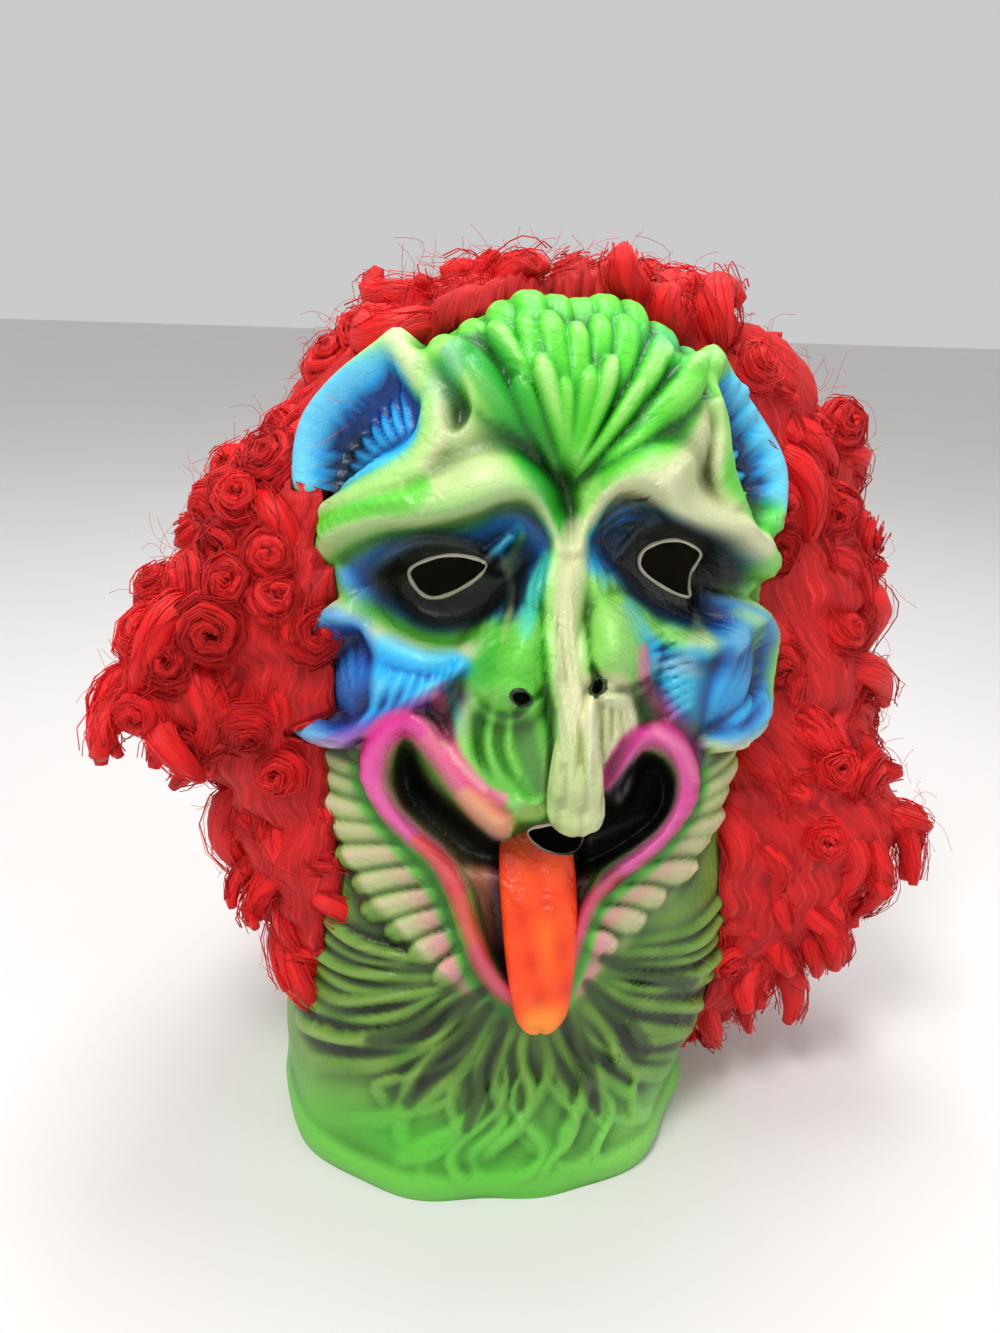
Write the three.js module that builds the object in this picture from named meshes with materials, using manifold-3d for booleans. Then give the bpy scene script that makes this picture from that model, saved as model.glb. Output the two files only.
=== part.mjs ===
// Full-head latex clown mask with a curly wig, standing on the hem of its neck.
// Millimetres, +Z up, the face looks along -Y and +X is the viewer's right.
import * as THREE from 'three';
import Module from 'manifold-3d';

const wasm = await Module();
wasm.setup();

// Driving dimensions
const CROWN_HEIGHT = 285; // height of the point that the crown is rounded about
const MAP_RADIUS = 100; // one unit along the unrolled face is 1 mm at this radius
const WALL = 3; // latex, wall at its thinnest
const HAIR_GAP = 2.2; // clear space between the plain form cut out of the wig and the highest latex
const FACE_CENTRE = { x: -12.8, y: -17.1 }; // moves the head's axis so that the whole part is centred
const TOP = CROWN_HEIGHT + (MAP_RADIUS * Math.PI) / 2; // the map's upper end, at the pole of the crown

// Grid of the skin: columns round the head, closer together over the face, and steps of height up it
const SKIN = { face: 44, back: 10, faceEnd: 128, foot: 6 };
const ROW_STEPS = [{ upTo: 90, step: 18 }, { upTo: 330, step: 8.5 }, { upTo: 430, step: 9.5 }];
const HAIR = { columns: 72, rows: 41 };

// Head form by height: half width, depth in front, depth behind, and how far its axis leans
const SIDE = [[0, 111], [60, 108], [130, 101], [200, 99], [260, 101], [300, 103], [370, 98], [442, 88]];
const FRONT = [
  [0, 94], [60, 87], [110, 82], [150, 84], [200, 84], [250, 76], [285, 72], [320, 79], [360, 94], [400, 100], [442, 90],
];
const BEHIND = [[0, 92], [60, 92], [130, 95], [200, 100], [285, 104], [370, 97], [442, 88]];
const LEAN = [[0, -3], [60, -2], [130, 0], [285, 2], [442, 3]];
const MIDLINE = [[90, -4], [150, -6], [205, -7], [225, -3], [245, 3], [300, 4], [340, 1]];
const SECTION = 2.3; // squareness of the head's plan
const RELIEF_TOWARDS = [-100.7, -463.6, 394]; // the carving leans to this point in front, as the casting's undercuts do

const clamp = (x, low, high) => Math.min(Math.max(x, low), high);
const SHARP = 2; // profile of a ridge with a crease along its foot
const FULL = 1; // profile of a finger or a lobe
const hump = (x, profile = SHARP) => (1 - Math.min(x * x, 1)) ** profile;

function smooth(from, to, x) {
  const t = clamp((x - from) / (to - from), 0, 1);
  return t * t * (3 - 2 * t);
}

// A smooth curve through [place, value] pairs
function knots(x, pairs) {
  const last = pairs.length - 1;
  const at = clamp(x, pairs[0][0], pairs[last][0]);
  let i = 0;
  while (i < last - 1 && at >= pairs[i + 1][0]) i += 1;
  const slope = (k) => {
    const a = pairs[Math.max(k - 1, 0)];
    const b = pairs[Math.min(k + 1, last)];
    return (b[1] - a[1]) / (b[0] - a[0]);
  };
  const h = pairs[i + 1][0] - pairs[i][0];
  const t = (at - pairs[i][0]) / h;
  const near = (2 * t ** 3 - 3 * t ** 2 + 1) * pairs[i][1] + (t ** 3 - 2 * t ** 2 + t) * h * slope(i);
  return near + (3 * t ** 2 - 2 * t ** 3) * pairs[i + 1][1] + (t ** 3 - t ** 2) * h * slope(i + 1);
}

// A line through rows of numbers, cut into short straight steps
function spline(points, steps, closed = false) {
  const n = points.length;
  const count = closed ? n : n - 1;
  const get = (k) => {
    if (closed) return points[(k + n) % n];
    if (k < 0) return points[0].map((v, c) => 2 * v - points[1][c]);
    if (k >= n) return points[n - 1].map((v, c) => 2 * v - points[n - 2][c]);
    return points[k];
  };
  const line = [];
  for (let i = 0; i < count; i += 1) {
    const [a, b, c, d] = [get(i - 1), get(i), get(i + 1), get(i + 2)];
    for (let s = 0; s < steps; s += 1) {
      const t = s / steps;
      line.push(b.map((v, k) => {
        const bend = (2 * a[k] - 5 * v + 4 * c[k] - d[k]) * t * t + (3 * v - 3 * c[k] + d[k] - a[k]) * t ** 3;
        return 0.5 * (2 * v + (c[k] - a[k]) * t + bend);
      }));
    }
  }
  line.push(closed ? points[0] : points[n - 1]);
  return line;
}

// How much the map is wider than the head at height w
const squeeze = (w) => Math.max(Math.cos(clamp((w - CROWN_HEIGHT) / MAP_RADIUS, 0, Math.PI / 2)), 0.12);

// The nearest place on a line: distance, side and the line's further columns there
function nearest(u, w, line) {
  const k = squeeze(w);
  let best = { far: Infinity };
  for (let i = 0; i + 1 < line.length; i += 1) {
    const [a, b] = [line[i], line[i + 1]];
    const dx = (b[0] - a[0]) * k;
    const dy = b[1] - a[1];
    const ax = (u - a[0]) * k;
    const ay = w - a[1];
    const t = clamp((ax * dx + ay * dy) / (dx * dx + dy * dy + 1e-9), 0, 1);
    const far = Math.hypot(ax - t * dx, ay - t * dy);
    if (far < best.far) best = { far, i, t, left: dx * (ay - t * dy) - dy * (ax - t * dx) > 0 };
  }
  const [a, b] = [line[best.i], line[best.i + 1]];
  return { ...best, row: a.map((v, c) => v + (b[c] - v) * best.t) };
}

// Whether a point of the map lies in the box round some lines
function boxRound(lines, margin) {
  const span = (c) => {
    const all = lines.flat().map((point) => point[c]);
    return [Math.min(...all) - margin, Math.max(...all) + margin];
  };
  const [[left, right], [low, high]] = [span(0), span(1)];
  const wide = margin / squeeze(high) - margin;
  return (u, w) => u > left - wide && u < right + wide && w > low && w < high;
}

// Each mark below is a function (u, w, height so far) that gives the new height of the face there.
// A rib's points are [u, w, width on its left, width on its right, height]. It is added to what is
// there, or blended over it up to its own height.
function rib(points, { profile = SHARP, blend = false } = {}) {
  const line = spline(points, 6);
  const close = boxRound([line], Math.max(...line.flatMap((row) => [row[2], row[3]])));
  return (u, w, before) => {
    if (!close(u, w)) return before;
    const { far, left, row } = nearest(u, w, line);
    const x = Math.min(far / row[left ? 2 : 3], 1);
    if (!blend) return before + hump(x, profile) * row[4];
    const share = (1 - x * x) ** 1.3;
    return before * (1 - share) + share * row[4];
  };
}

// Ribs spread evenly over guide lines, each with widths and heights from its start to its end
function fan(guides, form) {
  const { count, width, height, rise = 0.2, fall = 0.15, wave = 0, uneven = 0, profile = SHARP } = form;
  const steps = 10;
  const even = guides.map((guide) => {
    const path = new THREE.SplineCurve(guide.map(([u, w]) => new THREE.Vector2(u, w)));
    return path.getSpacedPoints(steps);
  });
  const spread = (list, t) => knots(t, list.map((v, i) => [i / (list.length - 1), v]));
  const lines = [];
  for (let i = 0; i < count; i += 1) {
    const line = [];
    for (let s = 0; s <= steps; s += 1) {
      const t = s / steps;
      const [u, w] = ['x', 'y'].map((c) => spread(even.map((g) => g[s][c]), i / (count - 1)));
      const sway = wave * Math.sin(t * 7.5 + i * 0.9) * t;
      const edge = smooth(0, rise, t) * smooth(0, fall, 1 - t);
      line.push([u + sway, w, spread(width, t), 0, spread(height, t) * edge * (1 - uneven * (i % 2))]);
    }
    lines.push(line);
  }
  const close = lines.map((line) => boxRound([line], Math.max(...width)));
  return (u, w, before) => {
    let most = 0;
    lines.forEach((line, i) => {
      if (!close[i](u, w)) return;
      const { far, row } = nearest(u, w, line);
      most = Math.max(most, hump(far / row[2], profile) * row[4]);
    });
    return before + most;
  };
}

// A raised or sunken field with a soft edge
function field(points, soft, height) {
  const line = spline(points, 5, true);
  const close = boxRound([line], soft);
  return (u, w, before) => {
    if (!close(u, w)) return before;
    let within = false;
    for (let i = 0; i + 1 < line.length; i += 1) {
      const [[u0, w0], [u1, w1]] = [line[i], line[i + 1]];
      if (w0 > w !== w1 > w && u < u0 + ((w - w0) / (w1 - w0)) * (u1 - u0)) within = !within;
    }
    const { far } = nearest(u, w, line);
    return before + height * smooth(-soft, soft, within ? far : -far);
  };
}

function mound(cu, cw, su, sw, height) {
  return (u, w, before) => {
    const across = ((u - cu) * squeeze(w)) / su;
    return before + height * Math.exp(-(across ** 2) - ((w - cw) / sw) ** 2);
  };
}

// Marks of one half of the face, which the other half repeats
const PAIRED = [
  // forehead plate and its outer ridge
  mound(54, 345, 18, 21, 10),
  mound(82, 327, 18, 12, 5),
  rib([[54, 367, 8, 6, 4], [76, 346, 11, 5, 9], [88, 332, 11, 5, 8], [102, 320, 8, 5, 5]]),
  // overhanging brow
  rib([
    [5, 306, 8, 6, 3], [20, 330, 16, 6, 12], [46, 326, 18, 6, 16], [81, 307, 18, 6, 14],
    [101, 296, 16, 7, 12], [123, 281, 8, 6, 3],
  ]),
  // eye socket, lid and the bag under the eye
  field([[16, 308], [28, 316], [50, 313], [78, 301], [97, 284], [88, 271], [66, 264], [26, 284]], 9, -15),
  field([[34, 298], [46, 306], [70, 300], [89, 284], [82, 272], [60, 273], [40, 284]], 8, -4),
  rib([[30, 300, 5, 4, 2], [40, 308, 6, 4, 4], [54, 309, 6, 4, 4], [78, 299, 5, 4, 3], [97, 283, 4, 4, 1]]),
  rib([[104, 280, 9, 5, 3], [94, 267, 10, 6, 5], [68, 258, 10, 6, 6], [41, 267, 7, 5, 3], [28, 284, 5, 4, 2]]),
  // cheek bone and the fin that stands out beside it
  mound(66, 247, 22, 15, 10),
  mound(97, 240, 15, 23, 7),
  rib([
    [98, 273, 3, 12, 8], [114, 259, 4, 14, 14], [123, 242, 5, 14, 16], [119, 222, 5, 14, 14],
    [101, 213, 5, 10, 10], [82, 216, 5, 8, 8], [64, 232, 3, 6, 4],
  ]),
  fan([[[82, 220], [86, 244], [95, 268]], [[82, 220], [102, 242], [114, 256]], [[82, 220], [106, 226], [120, 228]]],
    { count: 5, width: [2, 5, 7], height: [1, 3, 4] }),
  // wing of the nose and the fold that hangs under it
  rib([[16, 296, 9, 9, 2], [20, 282, 14, 14, 7], [26, 268, 18, 18, 12], [28, 254, 18, 18, 13]], { profile: FULL }),
  field([[9, 236], [9, 204], [22, 196], [33, 202], [44, 218], [46, 234], [30, 241]], 4, 10),
  // cheek petals round the mouth
  fan([
    [[80, 222], [96, 226], [112, 222]], [[82, 206], [98, 202], [114, 194]], [[80, 191], [92, 182], [104, 168]],
    [[68, 178], [80, 166], [88, 151]], [[52, 165], [64, 153], [70, 142]], [[38, 151], [49, 140], [56, 129]],
    [[30, 131], [40, 121], [46, 112]],
  ], { count: 9, width: [5, 7, 8], height: [2, 5, 6], fall: 0.12, profile: FULL }),
  // mouth: hollow corners, the trough that the tongue hangs in, and the lip round them
  field([
    [-20, 190], [14, 190], [24, 186], [48, 201], [57, 212], [65, 214], [70, 204], [67, 190], [42, 169], [-20, 166],
  ], 6, -17),
  field([[-20, 176], [34, 174], [30, 150], [24, 128], [16, 112], [6, 105], [-20, 105]], 6, -8),
  rib([
    [20, 189, 9, 7, 8], [41, 208, 9, 7, 9], [61, 223, 9, 7, 10], [75, 206, 9, 7, 11], [66, 181, 9, 7, 10],
    [43, 163, 9, 7, 10], [27, 132, 8, 6, 9], [12, 105, 8, 6, 9], [0, 100, 8, 6, 8],
  ], { blend: true }),
  // lobes at the outer end of the brow
  fan([[[76, 322], [81, 330], [87, 335]], [[89, 311], [97, 319], [103, 322]], [[103, 298], [112, 304], [119, 306]]],
    { count: 5, width: [3, 5, 5], height: [2, 5, 5], profile: FULL }),
  // ear cup: pointed top, front rim, hollow and outer rim
  rib([[64, 358, 8, 7, 4], [74, 360, 8, 7, 8], [88, 364, 7, 7, 12], [102, 370, 6, 6, 17]], { blend: true }),
  rib([[80, 362, 7, 8, 8], [74, 345, 7, 8, 10], [84, 324, 7, 8, 9], [98, 310, 6, 8, 7], [112, 302, 6, 7, 6]], { blend: true }),
  field([[86, 356], [79, 347], [80, 335], [90, 322], [105, 308], [124, 306], [130, 330], [100, 361]], 7, -8),
  rib([[102, 370, 8, 7, 16], [114, 361, 8, 7, 14], [127, 336, 9, 7, 13], [127, 320, 9, 7, 13], [120, 306, 8, 7, 11]],
    { blend: true }),
];

const NOSE_BODY = [[184, 0], [198, 10], [222, 17], [250, 16], [285, 10], [312, 4], [325, 0]];
const NOSE_WIDTH = [[184, 40], [215, 46], [250, 54], [285, 34], [325, 20]];

// Marks that are placed on the whole face
const WHOLE = [
  mound(-4, 130, 44, 34, 7),
  (u, w, before) => before + knots(w, NOSE_BODY) * hump(u / knots(w, NOSE_WIDTH)) * (w < 325 ? 1 : 0),
  rib([
    [2, 318, 8, 8, 2], [0, 295, 10, 10, 7], [0, 275, 11, 11, 9], [4, 254, 12, 12, 11], [7, 238, 13, 13, 14],
    [9, 220, 13, 13, 17], [10, 204, 13, 13, 18], [10, 192, 10, 10, 12],
  ], { profile: FULL }),
  // valley up the forehead, and the crest's two rows of lobes
  rib([[0, 300, 8, 8, -1], [-3, 325, 10, 9, -5], [-34, 362, 10, 8, -6], [-54, 374, 8, 8, -3]]),
  (u, w, before) => before + 9 * hump(u / 130) * smooth(338, 368, w) * (1 - smooth(392, 412, w)),
  fan([
    [[-6, 334], [-48, 356], [-84, 371]], [[-5, 334], [-32, 360], [-58, 384]], [[-3, 334], [-8, 366], [-14, 399]],
    [[2, 334], [24, 366], [42, 396]], [[6, 334], [46, 358], [90, 370]],
  ], { count: 10, width: [2, 5, 6.6], height: [1, 5, 7], profile: FULL }),
  fan([[[-5, 332], [-26, 350], [-42, 362]], [[-1, 330], [0, 352], [1, 373]], [[6, 332], [30, 348], [52, 358]]],
    { count: 6, width: [2, 4.6, 5.6], height: [1, 4, 6], profile: FULL }),
  // tendrils down the neck, and the hem
  (u, w, before) => before + 3 * (1 - smooth(96, 140, w - 0.25 * Math.abs(u))) * smooth(20, 60, w),
  fan([
    [[-40, 112], [-92, 104], [-150, 110]], [[-36, 104], [-78, 76], [-128, 60]], [[-24, 92], [-44, 60], [-62, 26]],
    [[-6, 88], [-10, 56], [-14, 24]], [[10, 92], [30, 60], [44, 26]], [[26, 108], [72, 80], [112, 60]],
    [[34, 118], [84, 112], [150, 112]],
  ], { count: 21, width: [4, 6, 7], height: [3, 7, 3], fall: 0.35, wave: 7, uneven: 0.5 }),
  rib([[-150, 10, 10, 10, 2], [-60, 6, 10, 10, 3], [0, 10, 10, 10, 1], [60, 8, 10, 10, 3], [150, 10, 10, 10, 2]]),
];

function headRadius(u, w) {
  const angle = u / MAP_RADIUS;
  const depth = Math.cos(angle) > 0 ? knots(w, FRONT) : knots(w, BEHIND);
  const across = Math.abs(Math.sin(angle) / knots(w, SIDE)) ** SECTION;
  const taper = 0.15 * smooth(30, 110, u) * (1 - smooth(230, 300, u)) * (1 - smooth(10, 100, w));
  return (across + Math.abs(Math.cos(angle) / depth) ** SECTION) ** (-1 / SECTION) * (1 - taper);
}

function skinRadius(u, w) {
  const folded = Math.abs(u - knots(w, MIDLINE));
  let height = 0;
  if (Math.abs(u) < 165) {
    for (const mark of PAIRED) height = mark(folded, w, height);
    for (const mark of WHOLE) height = mark(u, w, height);
  }
  return headRadius(u, w) + height * (1 - smooth(140, 165, Math.abs(u)));
}

// The direction in which the carving rises: outwards, and leaning towards the front where that is in sight
function reliefWay(u, w) {
  const angle = u / MAP_RADIUS;
  const tilt = clamp((w - CROWN_HEIGHT) / MAP_RADIUS, 0, Math.PI / 2);
  const out = new THREE.Vector3(Math.cos(tilt) * Math.sin(angle), -Math.cos(tilt) * Math.cos(angle), Math.sin(tilt));
  const foot = new THREE.Vector3(...place(u, w, headRadius(u, w)));
  const ahead = new THREE.Vector3(...RELIEF_TOWARDS).sub(foot).normalize();
  const lean = smooth(0.12, 0.5, out.dot(ahead)) * (1 - smooth(68, 108, Math.abs(u)))
    * (1 - smooth(318, 360, w)) * smooth(0, 60, w);
  const way = out.clone().lerp(ahead, lean);
  return way.divideScalar(Math.max(way.dot(out), 0.78));
}

// A point of the carved skin, whose radius is the head's own and the carving's height
function carved(u, w, radius) {
  const way = reliefWay(u, w).multiplyScalar(radius - headRadius(u, w));
  return place(u, w, headRadius(u, w)).map((v, c) => v + way.getComponent(c));
}

// From the unrolled map to space: upright below the crown's centre, tilting over above it
function place(u, w, radius) {
  const angle = u / MAP_RADIUS;
  const tilt = clamp((w - CROWN_HEIGHT) / MAP_RADIUS, 0, Math.PI / 2);
  const level = radius * Math.cos(tilt);
  return [
    level * Math.sin(angle) + knots(w, LEAN) + FACE_CENTRE.x,
    -level * Math.cos(angle) + FACE_CENTRE.y,
    Math.min(w, CROWN_HEIGHT) + radius * Math.sin(tilt),
  ];
}

// A closed surface through rings of equally many points, with both ends capped
function loft(rings) {
  const sides = rings[0].length;
  const points = rings.flat();
  const faces = [];
  const middle = (ring) => [0, 1, 2].map((c) => ring.reduce((sum, p) => sum + p[c], 0) / sides);
  points.push(middle(rings[0]), middle(rings[rings.length - 1]));
  const [first, last] = [points.length - 2, points.length - 1];
  for (let j = 0; j < sides; j += 1) {
    const next = (j + 1) % sides;
    for (let i = 0; i + 1 < rings.length; i += 1) {
      const [a, b] = [i * sides + j, i * sides + next];
      faces.push([a, b, b + sides], [a, b + sides, a + sides]);
    }
    const top = (rings.length - 1) * sides;
    faces.push([first, next, j], [last, top + j, top + next]);
  }
  const volume = faces.reduce((sum, [a, b, c]) => {
    const [p, q, r] = [a, b, c].map((k) => new THREE.Vector3(...points[k]));
    return sum + p.dot(q.cross(r));
  }, 0);
  if (volume < 0) faces.forEach((face) => face.reverse());
  return new wasm.Manifold(new wasm.Mesh({
    numProp: 3,
    vertProperties: new Float32Array(points.flat()),
    triVerts: new Uint32Array(faces.flat()),
  }));
}

function toMesh(name, solid, look) {
  const mesh = solid.getMesh();
  const geometry = new THREE.BufferGeometry();
  geometry.setAttribute('position', new THREE.BufferAttribute(mesh.vertProperties, 3));
  geometry.setIndex(new THREE.BufferAttribute(mesh.triVerts, 1));
  geometry.computeVertexNormals();
  const piece = new THREE.Mesh(geometry, new THREE.MeshStandardMaterial(look));
  piece.name = name;
  return piece;
}

// Columns round the head and rows up it
const columns = [];
for (let i = 0; i < SKIN.face; i += 1) columns.push(-SKIN.faceEnd + (2 * SKIN.faceEnd * i) / SKIN.face);
const turn = 2 * Math.PI * MAP_RADIUS;
for (let i = 0; i < SKIN.back; i += 1) {
  columns.push(SKIN.faceEnd + ((turn - 2 * SKIN.faceEnd) * i) / SKIN.back);
}
const rows = [0];
for (const { upTo, step } of ROW_STEPS) {
  while (rows[rows.length - 1] + step <= upTo) rows.push(rows[rows.length - 1] + step);
}
const wrap = (u) => (u > turn / 2 ? u - turn : u);
const radii = rows.map((w) => columns.map((u) => skinRadius(wrap(u), w)));

// The smallest or largest radius among the grid points up to so many steps away
function extreme(pick, i, j, reach) {
  const around = [];
  for (let di = -reach; di <= reach; di += 1) {
    const row = radii[clamp(i + di, 0, rows.length - 1)];
    for (let dj = -reach; dj <= reach; dj += 1) around.push(row[(j + dj + columns.length) % columns.length]);
  }
  return pick(...around);
}

// A plainer skin with one grid point in so many, that lies inside or outside the real one everywhere
function plainSkin(pick, offset, foot, stride) {
  const rings = [];
  for (let i = 0; i < rows.length; i += 1) {
    if (i % stride && i < rows.length - 1) continue;
    const ring = [];
    for (let j = 0; j < columns.length; j += 1) {
      if (j % stride && j < SKIN.face) continue;
      ring.push(carved(columns[j], rows[i], extreme(pick, i, j, stride - 1) + offset));
    }
    rings.push(ring);
  }
  rings.unshift(rings[0].map(([x, y]) => [x, y, -foot]));
  return loft(rings);
}

// A cutter through the wall, from below the plain head's surface to above it, with its outline given on the map
function cutter(points, below, above) {
  const outline = spline(points, 3, true).slice(0, -1);
  return loft([-below, above].map((height) => outline.map(([u, w]) => carved(u, w, headRadius(u, w) + height))));
}

const EYE_LEFT = [[-39, 297], [-44, 300], [-57, 301], [-70, 295], [-79, 286], [-73, 276], [-64, 274], [-50, 281], [-42, 289]];
const EYE_RIGHT = [[38, 300], [42, 307], [58, 308], [70, 301], [81, 292], [80, 278], [73, 275], [56, 281], [41, 291]];
const NOSTRIL_LEFT = [[-13, 243], [-19, 248], [-26, 245], [-21, 238]];
const NOSTRIL_RIGHT = [[14, 247], [19, 252], [25, 248], [20, 241]];
const MOUTH = [[-14, 186], [-9, 179], [-1, 175], [8, 174], [13, 176], [14, 184], [7, 190], [-5, 190]];

// Tongue: [height, distance in front of the axis, half width, half thickness], from the mouth hole to the tip
const TONGUE = [
  [184, 64, 11, 3], [176, 70, 15, 4], [166, 80, 16, 5], [150, 90, 16, 5.5], [132, 96, 14.5, 5.5],
  [118, 99, 12.5, 5.5], [108, 100, 10, 5], [102, 99, 6, 3],
];
const TONGUE_X = -4;

function tongue() {
  const sides = 12;
  return loft(TONGUE.map(([z, reach, wide, thick], i) => {
    const before = TONGUE[Math.max(i - 1, 0)];
    const after = TONGUE[Math.min(i + 1, TONGUE.length - 1)];
    const slope = Math.atan2(after[1] - before[1], before[0] - after[0]);
    return Array.from({ length: sides }, (_, k) => {
      const a = (2 * Math.PI * k) / sides;
      const off = thick * Math.sin(a);
      return [
        TONGUE_X + FACE_CENTRE.x + wide * Math.cos(a),
        FACE_CENTRE.y - reach - off * Math.cos(slope),
        z + off * Math.sin(slope),
      ];
    });
  }));
}

function mask() {
  const skin = loft(rows.map((w, i) => columns.map((u, j) => carved(u, w, radii[i][j]))));
  let shell = skin.subtract(plainSkin(Math.min, -WALL, SKIN.foot, 2));
  for (const outline of [EYE_LEFT, EYE_RIGHT]) shell = shell.subtract(cutter(outline, 45, 35));
  for (const outline of [NOSTRIL_LEFT, NOSTRIL_RIGHT]) shell = shell.subtract(cutter(outline, 30, 50));
  return shell.subtract(cutter(MOUTH, 40, 12)).add(tongue());
}

// Wig: how far the hair stands off the head at each height, at the viewer's left, right and behind.
// A value below zero lies inside the head, where there is no hair.
const NO_HAIR = -30;
const HAIR_LEFT = [
  [0, NO_HAIR], [70, NO_HAIR], [95, 6], [120, 18], [150, 30], [180, 42], [210, 61], [232, 70.9], [258, 67], [280, 48],
  [300, 30], [322, 20], [350, 18], [442, 20],
];
const HAIR_RIGHT = [
  [0, NO_HAIR], [20, NO_HAIR], [45, 30], [75, 60], [105, 76], [130, 88], [155, 94], [185, 90], [215, 80], [250, 74],
  [290, 62], [320, 54], [350, 38], [442, 20],
];
const HAIR_BACK = [[0, NO_HAIR], [40, NO_HAIR], [70, 16], [110, 36], [160, 42.3], [260, 44.3], [340, 34], [442, 20]];
// How far round from the front the hair begins, at each height
const EDGE_LEFT = [[60, 80], [110, 74], [150, 82], [200, 92], [310, 94], [375, 96], [398, 66], [415, 20], [430, -60]];
const EDGE_RIGHT = [[36, 92], [90, 98], [150, 100], [200, 110], [310, 120], [375, 98], [398, 66], [415, 20], [430, -60]];
const HAIR_FOOT = 60; // how far the form cut out of the wig reaches below the hem
const HAIR_FRONT = 50; // length round the head over which the hair rises to its full depth
const BEHIND_STARTS = 150;
const BEHIND_FULL = 250;

// Overlapping rows of locks of uneven size, each fullest near its lower end
const LOCK = { wide: turn / 18, high: 40, deep: 34, droop: 0.45 };

// Lumps of the walls of hair beside the face: their height round the head, and their length over 2 pi
const RIPPLE = { high: 6, length: 7 };

function lock(u, w) {
  let most = 0;
  for (const row of [Math.floor(w / LOCK.high), Math.ceil(w / LOCK.high)]) {
    const shift = row % 2 ? 0.5 : 0;
    const number = Math.round(u / LOCK.wide - shift);
    const across = (u / LOCK.wide - shift - number) / 0.6;
    const along = (w / LOCK.high - row) / 0.85;
    const round = 1 - across ** 2 - (along + LOCK.droop * (1 - along ** 2)) ** 2;
    const size = 0.78 + 0.22 * Math.sin(number * 2.4 + row * 4.1);
    most = Math.max(most, size * Math.sqrt(Math.max(round, 0)));
  }
  return most;
}

function hairDepth(u, w) {
  const round = Math.abs(u);
  const side = knots(w, u < 0 ? HAIR_LEFT : HAIR_RIGHT);
  const back = smooth(BEHIND_STARTS, BEHIND_FULL, round);
  const edge = knots(w, u < 0 ? EDGE_LEFT : EDGE_RIGHT);
  const full = side * (1 - back) + knots(w, HAIR_BACK) * back;
  const rise = Math.sin((Math.PI / 2) * clamp((round - edge) / HAIR_FRONT, 0, 1));
  const fade = smooth(0.15, 0.6, squeeze(w));
  const lumps = LOCK.deep * (lock(u, w) - 0.5) * fade * smooth(0, 60, full);
  return NO_HAIR + (full + lumps - NO_HAIR) * rise;
}

function hairMass() {
  const rings = [];
  for (let i = 0; i <= HAIR.rows; i += 1) {
    const w = 24 + ((TOP - 32) * i) / HAIR.rows;
    const ring = [];
    for (let j = 0; j < HAIR.columns; j += 1) {
      const u = wrap((turn * j) / HAIR.columns);
      const depth = hairDepth(u, w);
      const ripple = RIPPLE.high * Math.sin(depth / RIPPLE.length + w / 60) * Math.cos(w / RIPPLE.length);
      ring.push(place(u + ripple, w, headRadius(u, w) + depth));
    }
    rings.push(ring);
  }
  return loft(rings);
}

function wig() {
  const outside = hairMass().subtract(plainSkin(Math.max, HAIR_GAP, HAIR_FOOT, 3));
  const parts = outside.decompose().sort((a, b) => b.volume() - a.volume());
  return parts[0];
}

const group = new THREE.Group();
group.add(toMesh('latex_mask', mask(), { color: 0x58c431, roughness: 0.42, metalness: 0 }));
group.add(toMesh('hair_wig', wig(), { color: 0xd80f14, roughness: 0.55, metalness: 0 }));

export default group;
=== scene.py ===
"""Full-head latex clown mask with a curly red wig, standing on the hem of its neck."""

import math

import bpy
import numpy as np
from mathutils import Matrix, Vector


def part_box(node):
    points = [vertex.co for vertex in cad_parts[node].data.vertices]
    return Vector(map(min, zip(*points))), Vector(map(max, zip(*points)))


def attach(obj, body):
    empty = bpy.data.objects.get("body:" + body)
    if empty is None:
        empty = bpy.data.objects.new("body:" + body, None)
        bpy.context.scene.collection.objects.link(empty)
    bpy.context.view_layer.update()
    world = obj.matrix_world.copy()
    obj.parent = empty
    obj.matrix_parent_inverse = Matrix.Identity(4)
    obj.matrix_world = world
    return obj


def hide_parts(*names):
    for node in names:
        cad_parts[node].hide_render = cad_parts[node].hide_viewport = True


bl_info = {
    "name": "Clown Mask",
    "version": (1, 0, 0),
    "blender": (4, 5, 0),
    "location": "View3D > Sidebar > Clown Mask",
    "description": "Builds a painted latex clown mask with its curly wig and a plain stage",
    "category": "Object",
}

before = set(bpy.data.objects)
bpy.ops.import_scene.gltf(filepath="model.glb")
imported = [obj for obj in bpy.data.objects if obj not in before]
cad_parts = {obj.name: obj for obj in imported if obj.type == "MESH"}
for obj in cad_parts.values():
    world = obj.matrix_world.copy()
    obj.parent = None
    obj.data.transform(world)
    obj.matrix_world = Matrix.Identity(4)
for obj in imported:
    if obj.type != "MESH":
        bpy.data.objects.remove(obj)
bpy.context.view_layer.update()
MM = 0.001

# Head form in millimetres, by height: half width, depth in front and behind, lean of the axis
CROWN_HEIGHT = 285.0
MAP_RADIUS = 100.0
FACE_CENTRE = (-12.8, -17.1)
SIDE = ((0, 111), (60, 108), (130, 101), (200, 99), (260, 101), (300, 103), (370, 98), (442, 88))
FRONT = (
    (0, 94), (60, 87), (110, 82), (150, 84), (200, 84), (250, 76), (285, 72), (320, 79),
    (360, 94), (400, 100), (442, 90),
)
BEHIND = ((0, 92), (60, 92), (130, 95), (200, 100), (285, 104), (370, 97), (442, 88))
LEAN = ((0, -3), (60, -2), (130, 0), (285, 2), (442, 3))
SECTION = 2.3
ROUND = 2 * math.pi * MAP_RADIUS
NECK_TAPER = 0.15
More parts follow.
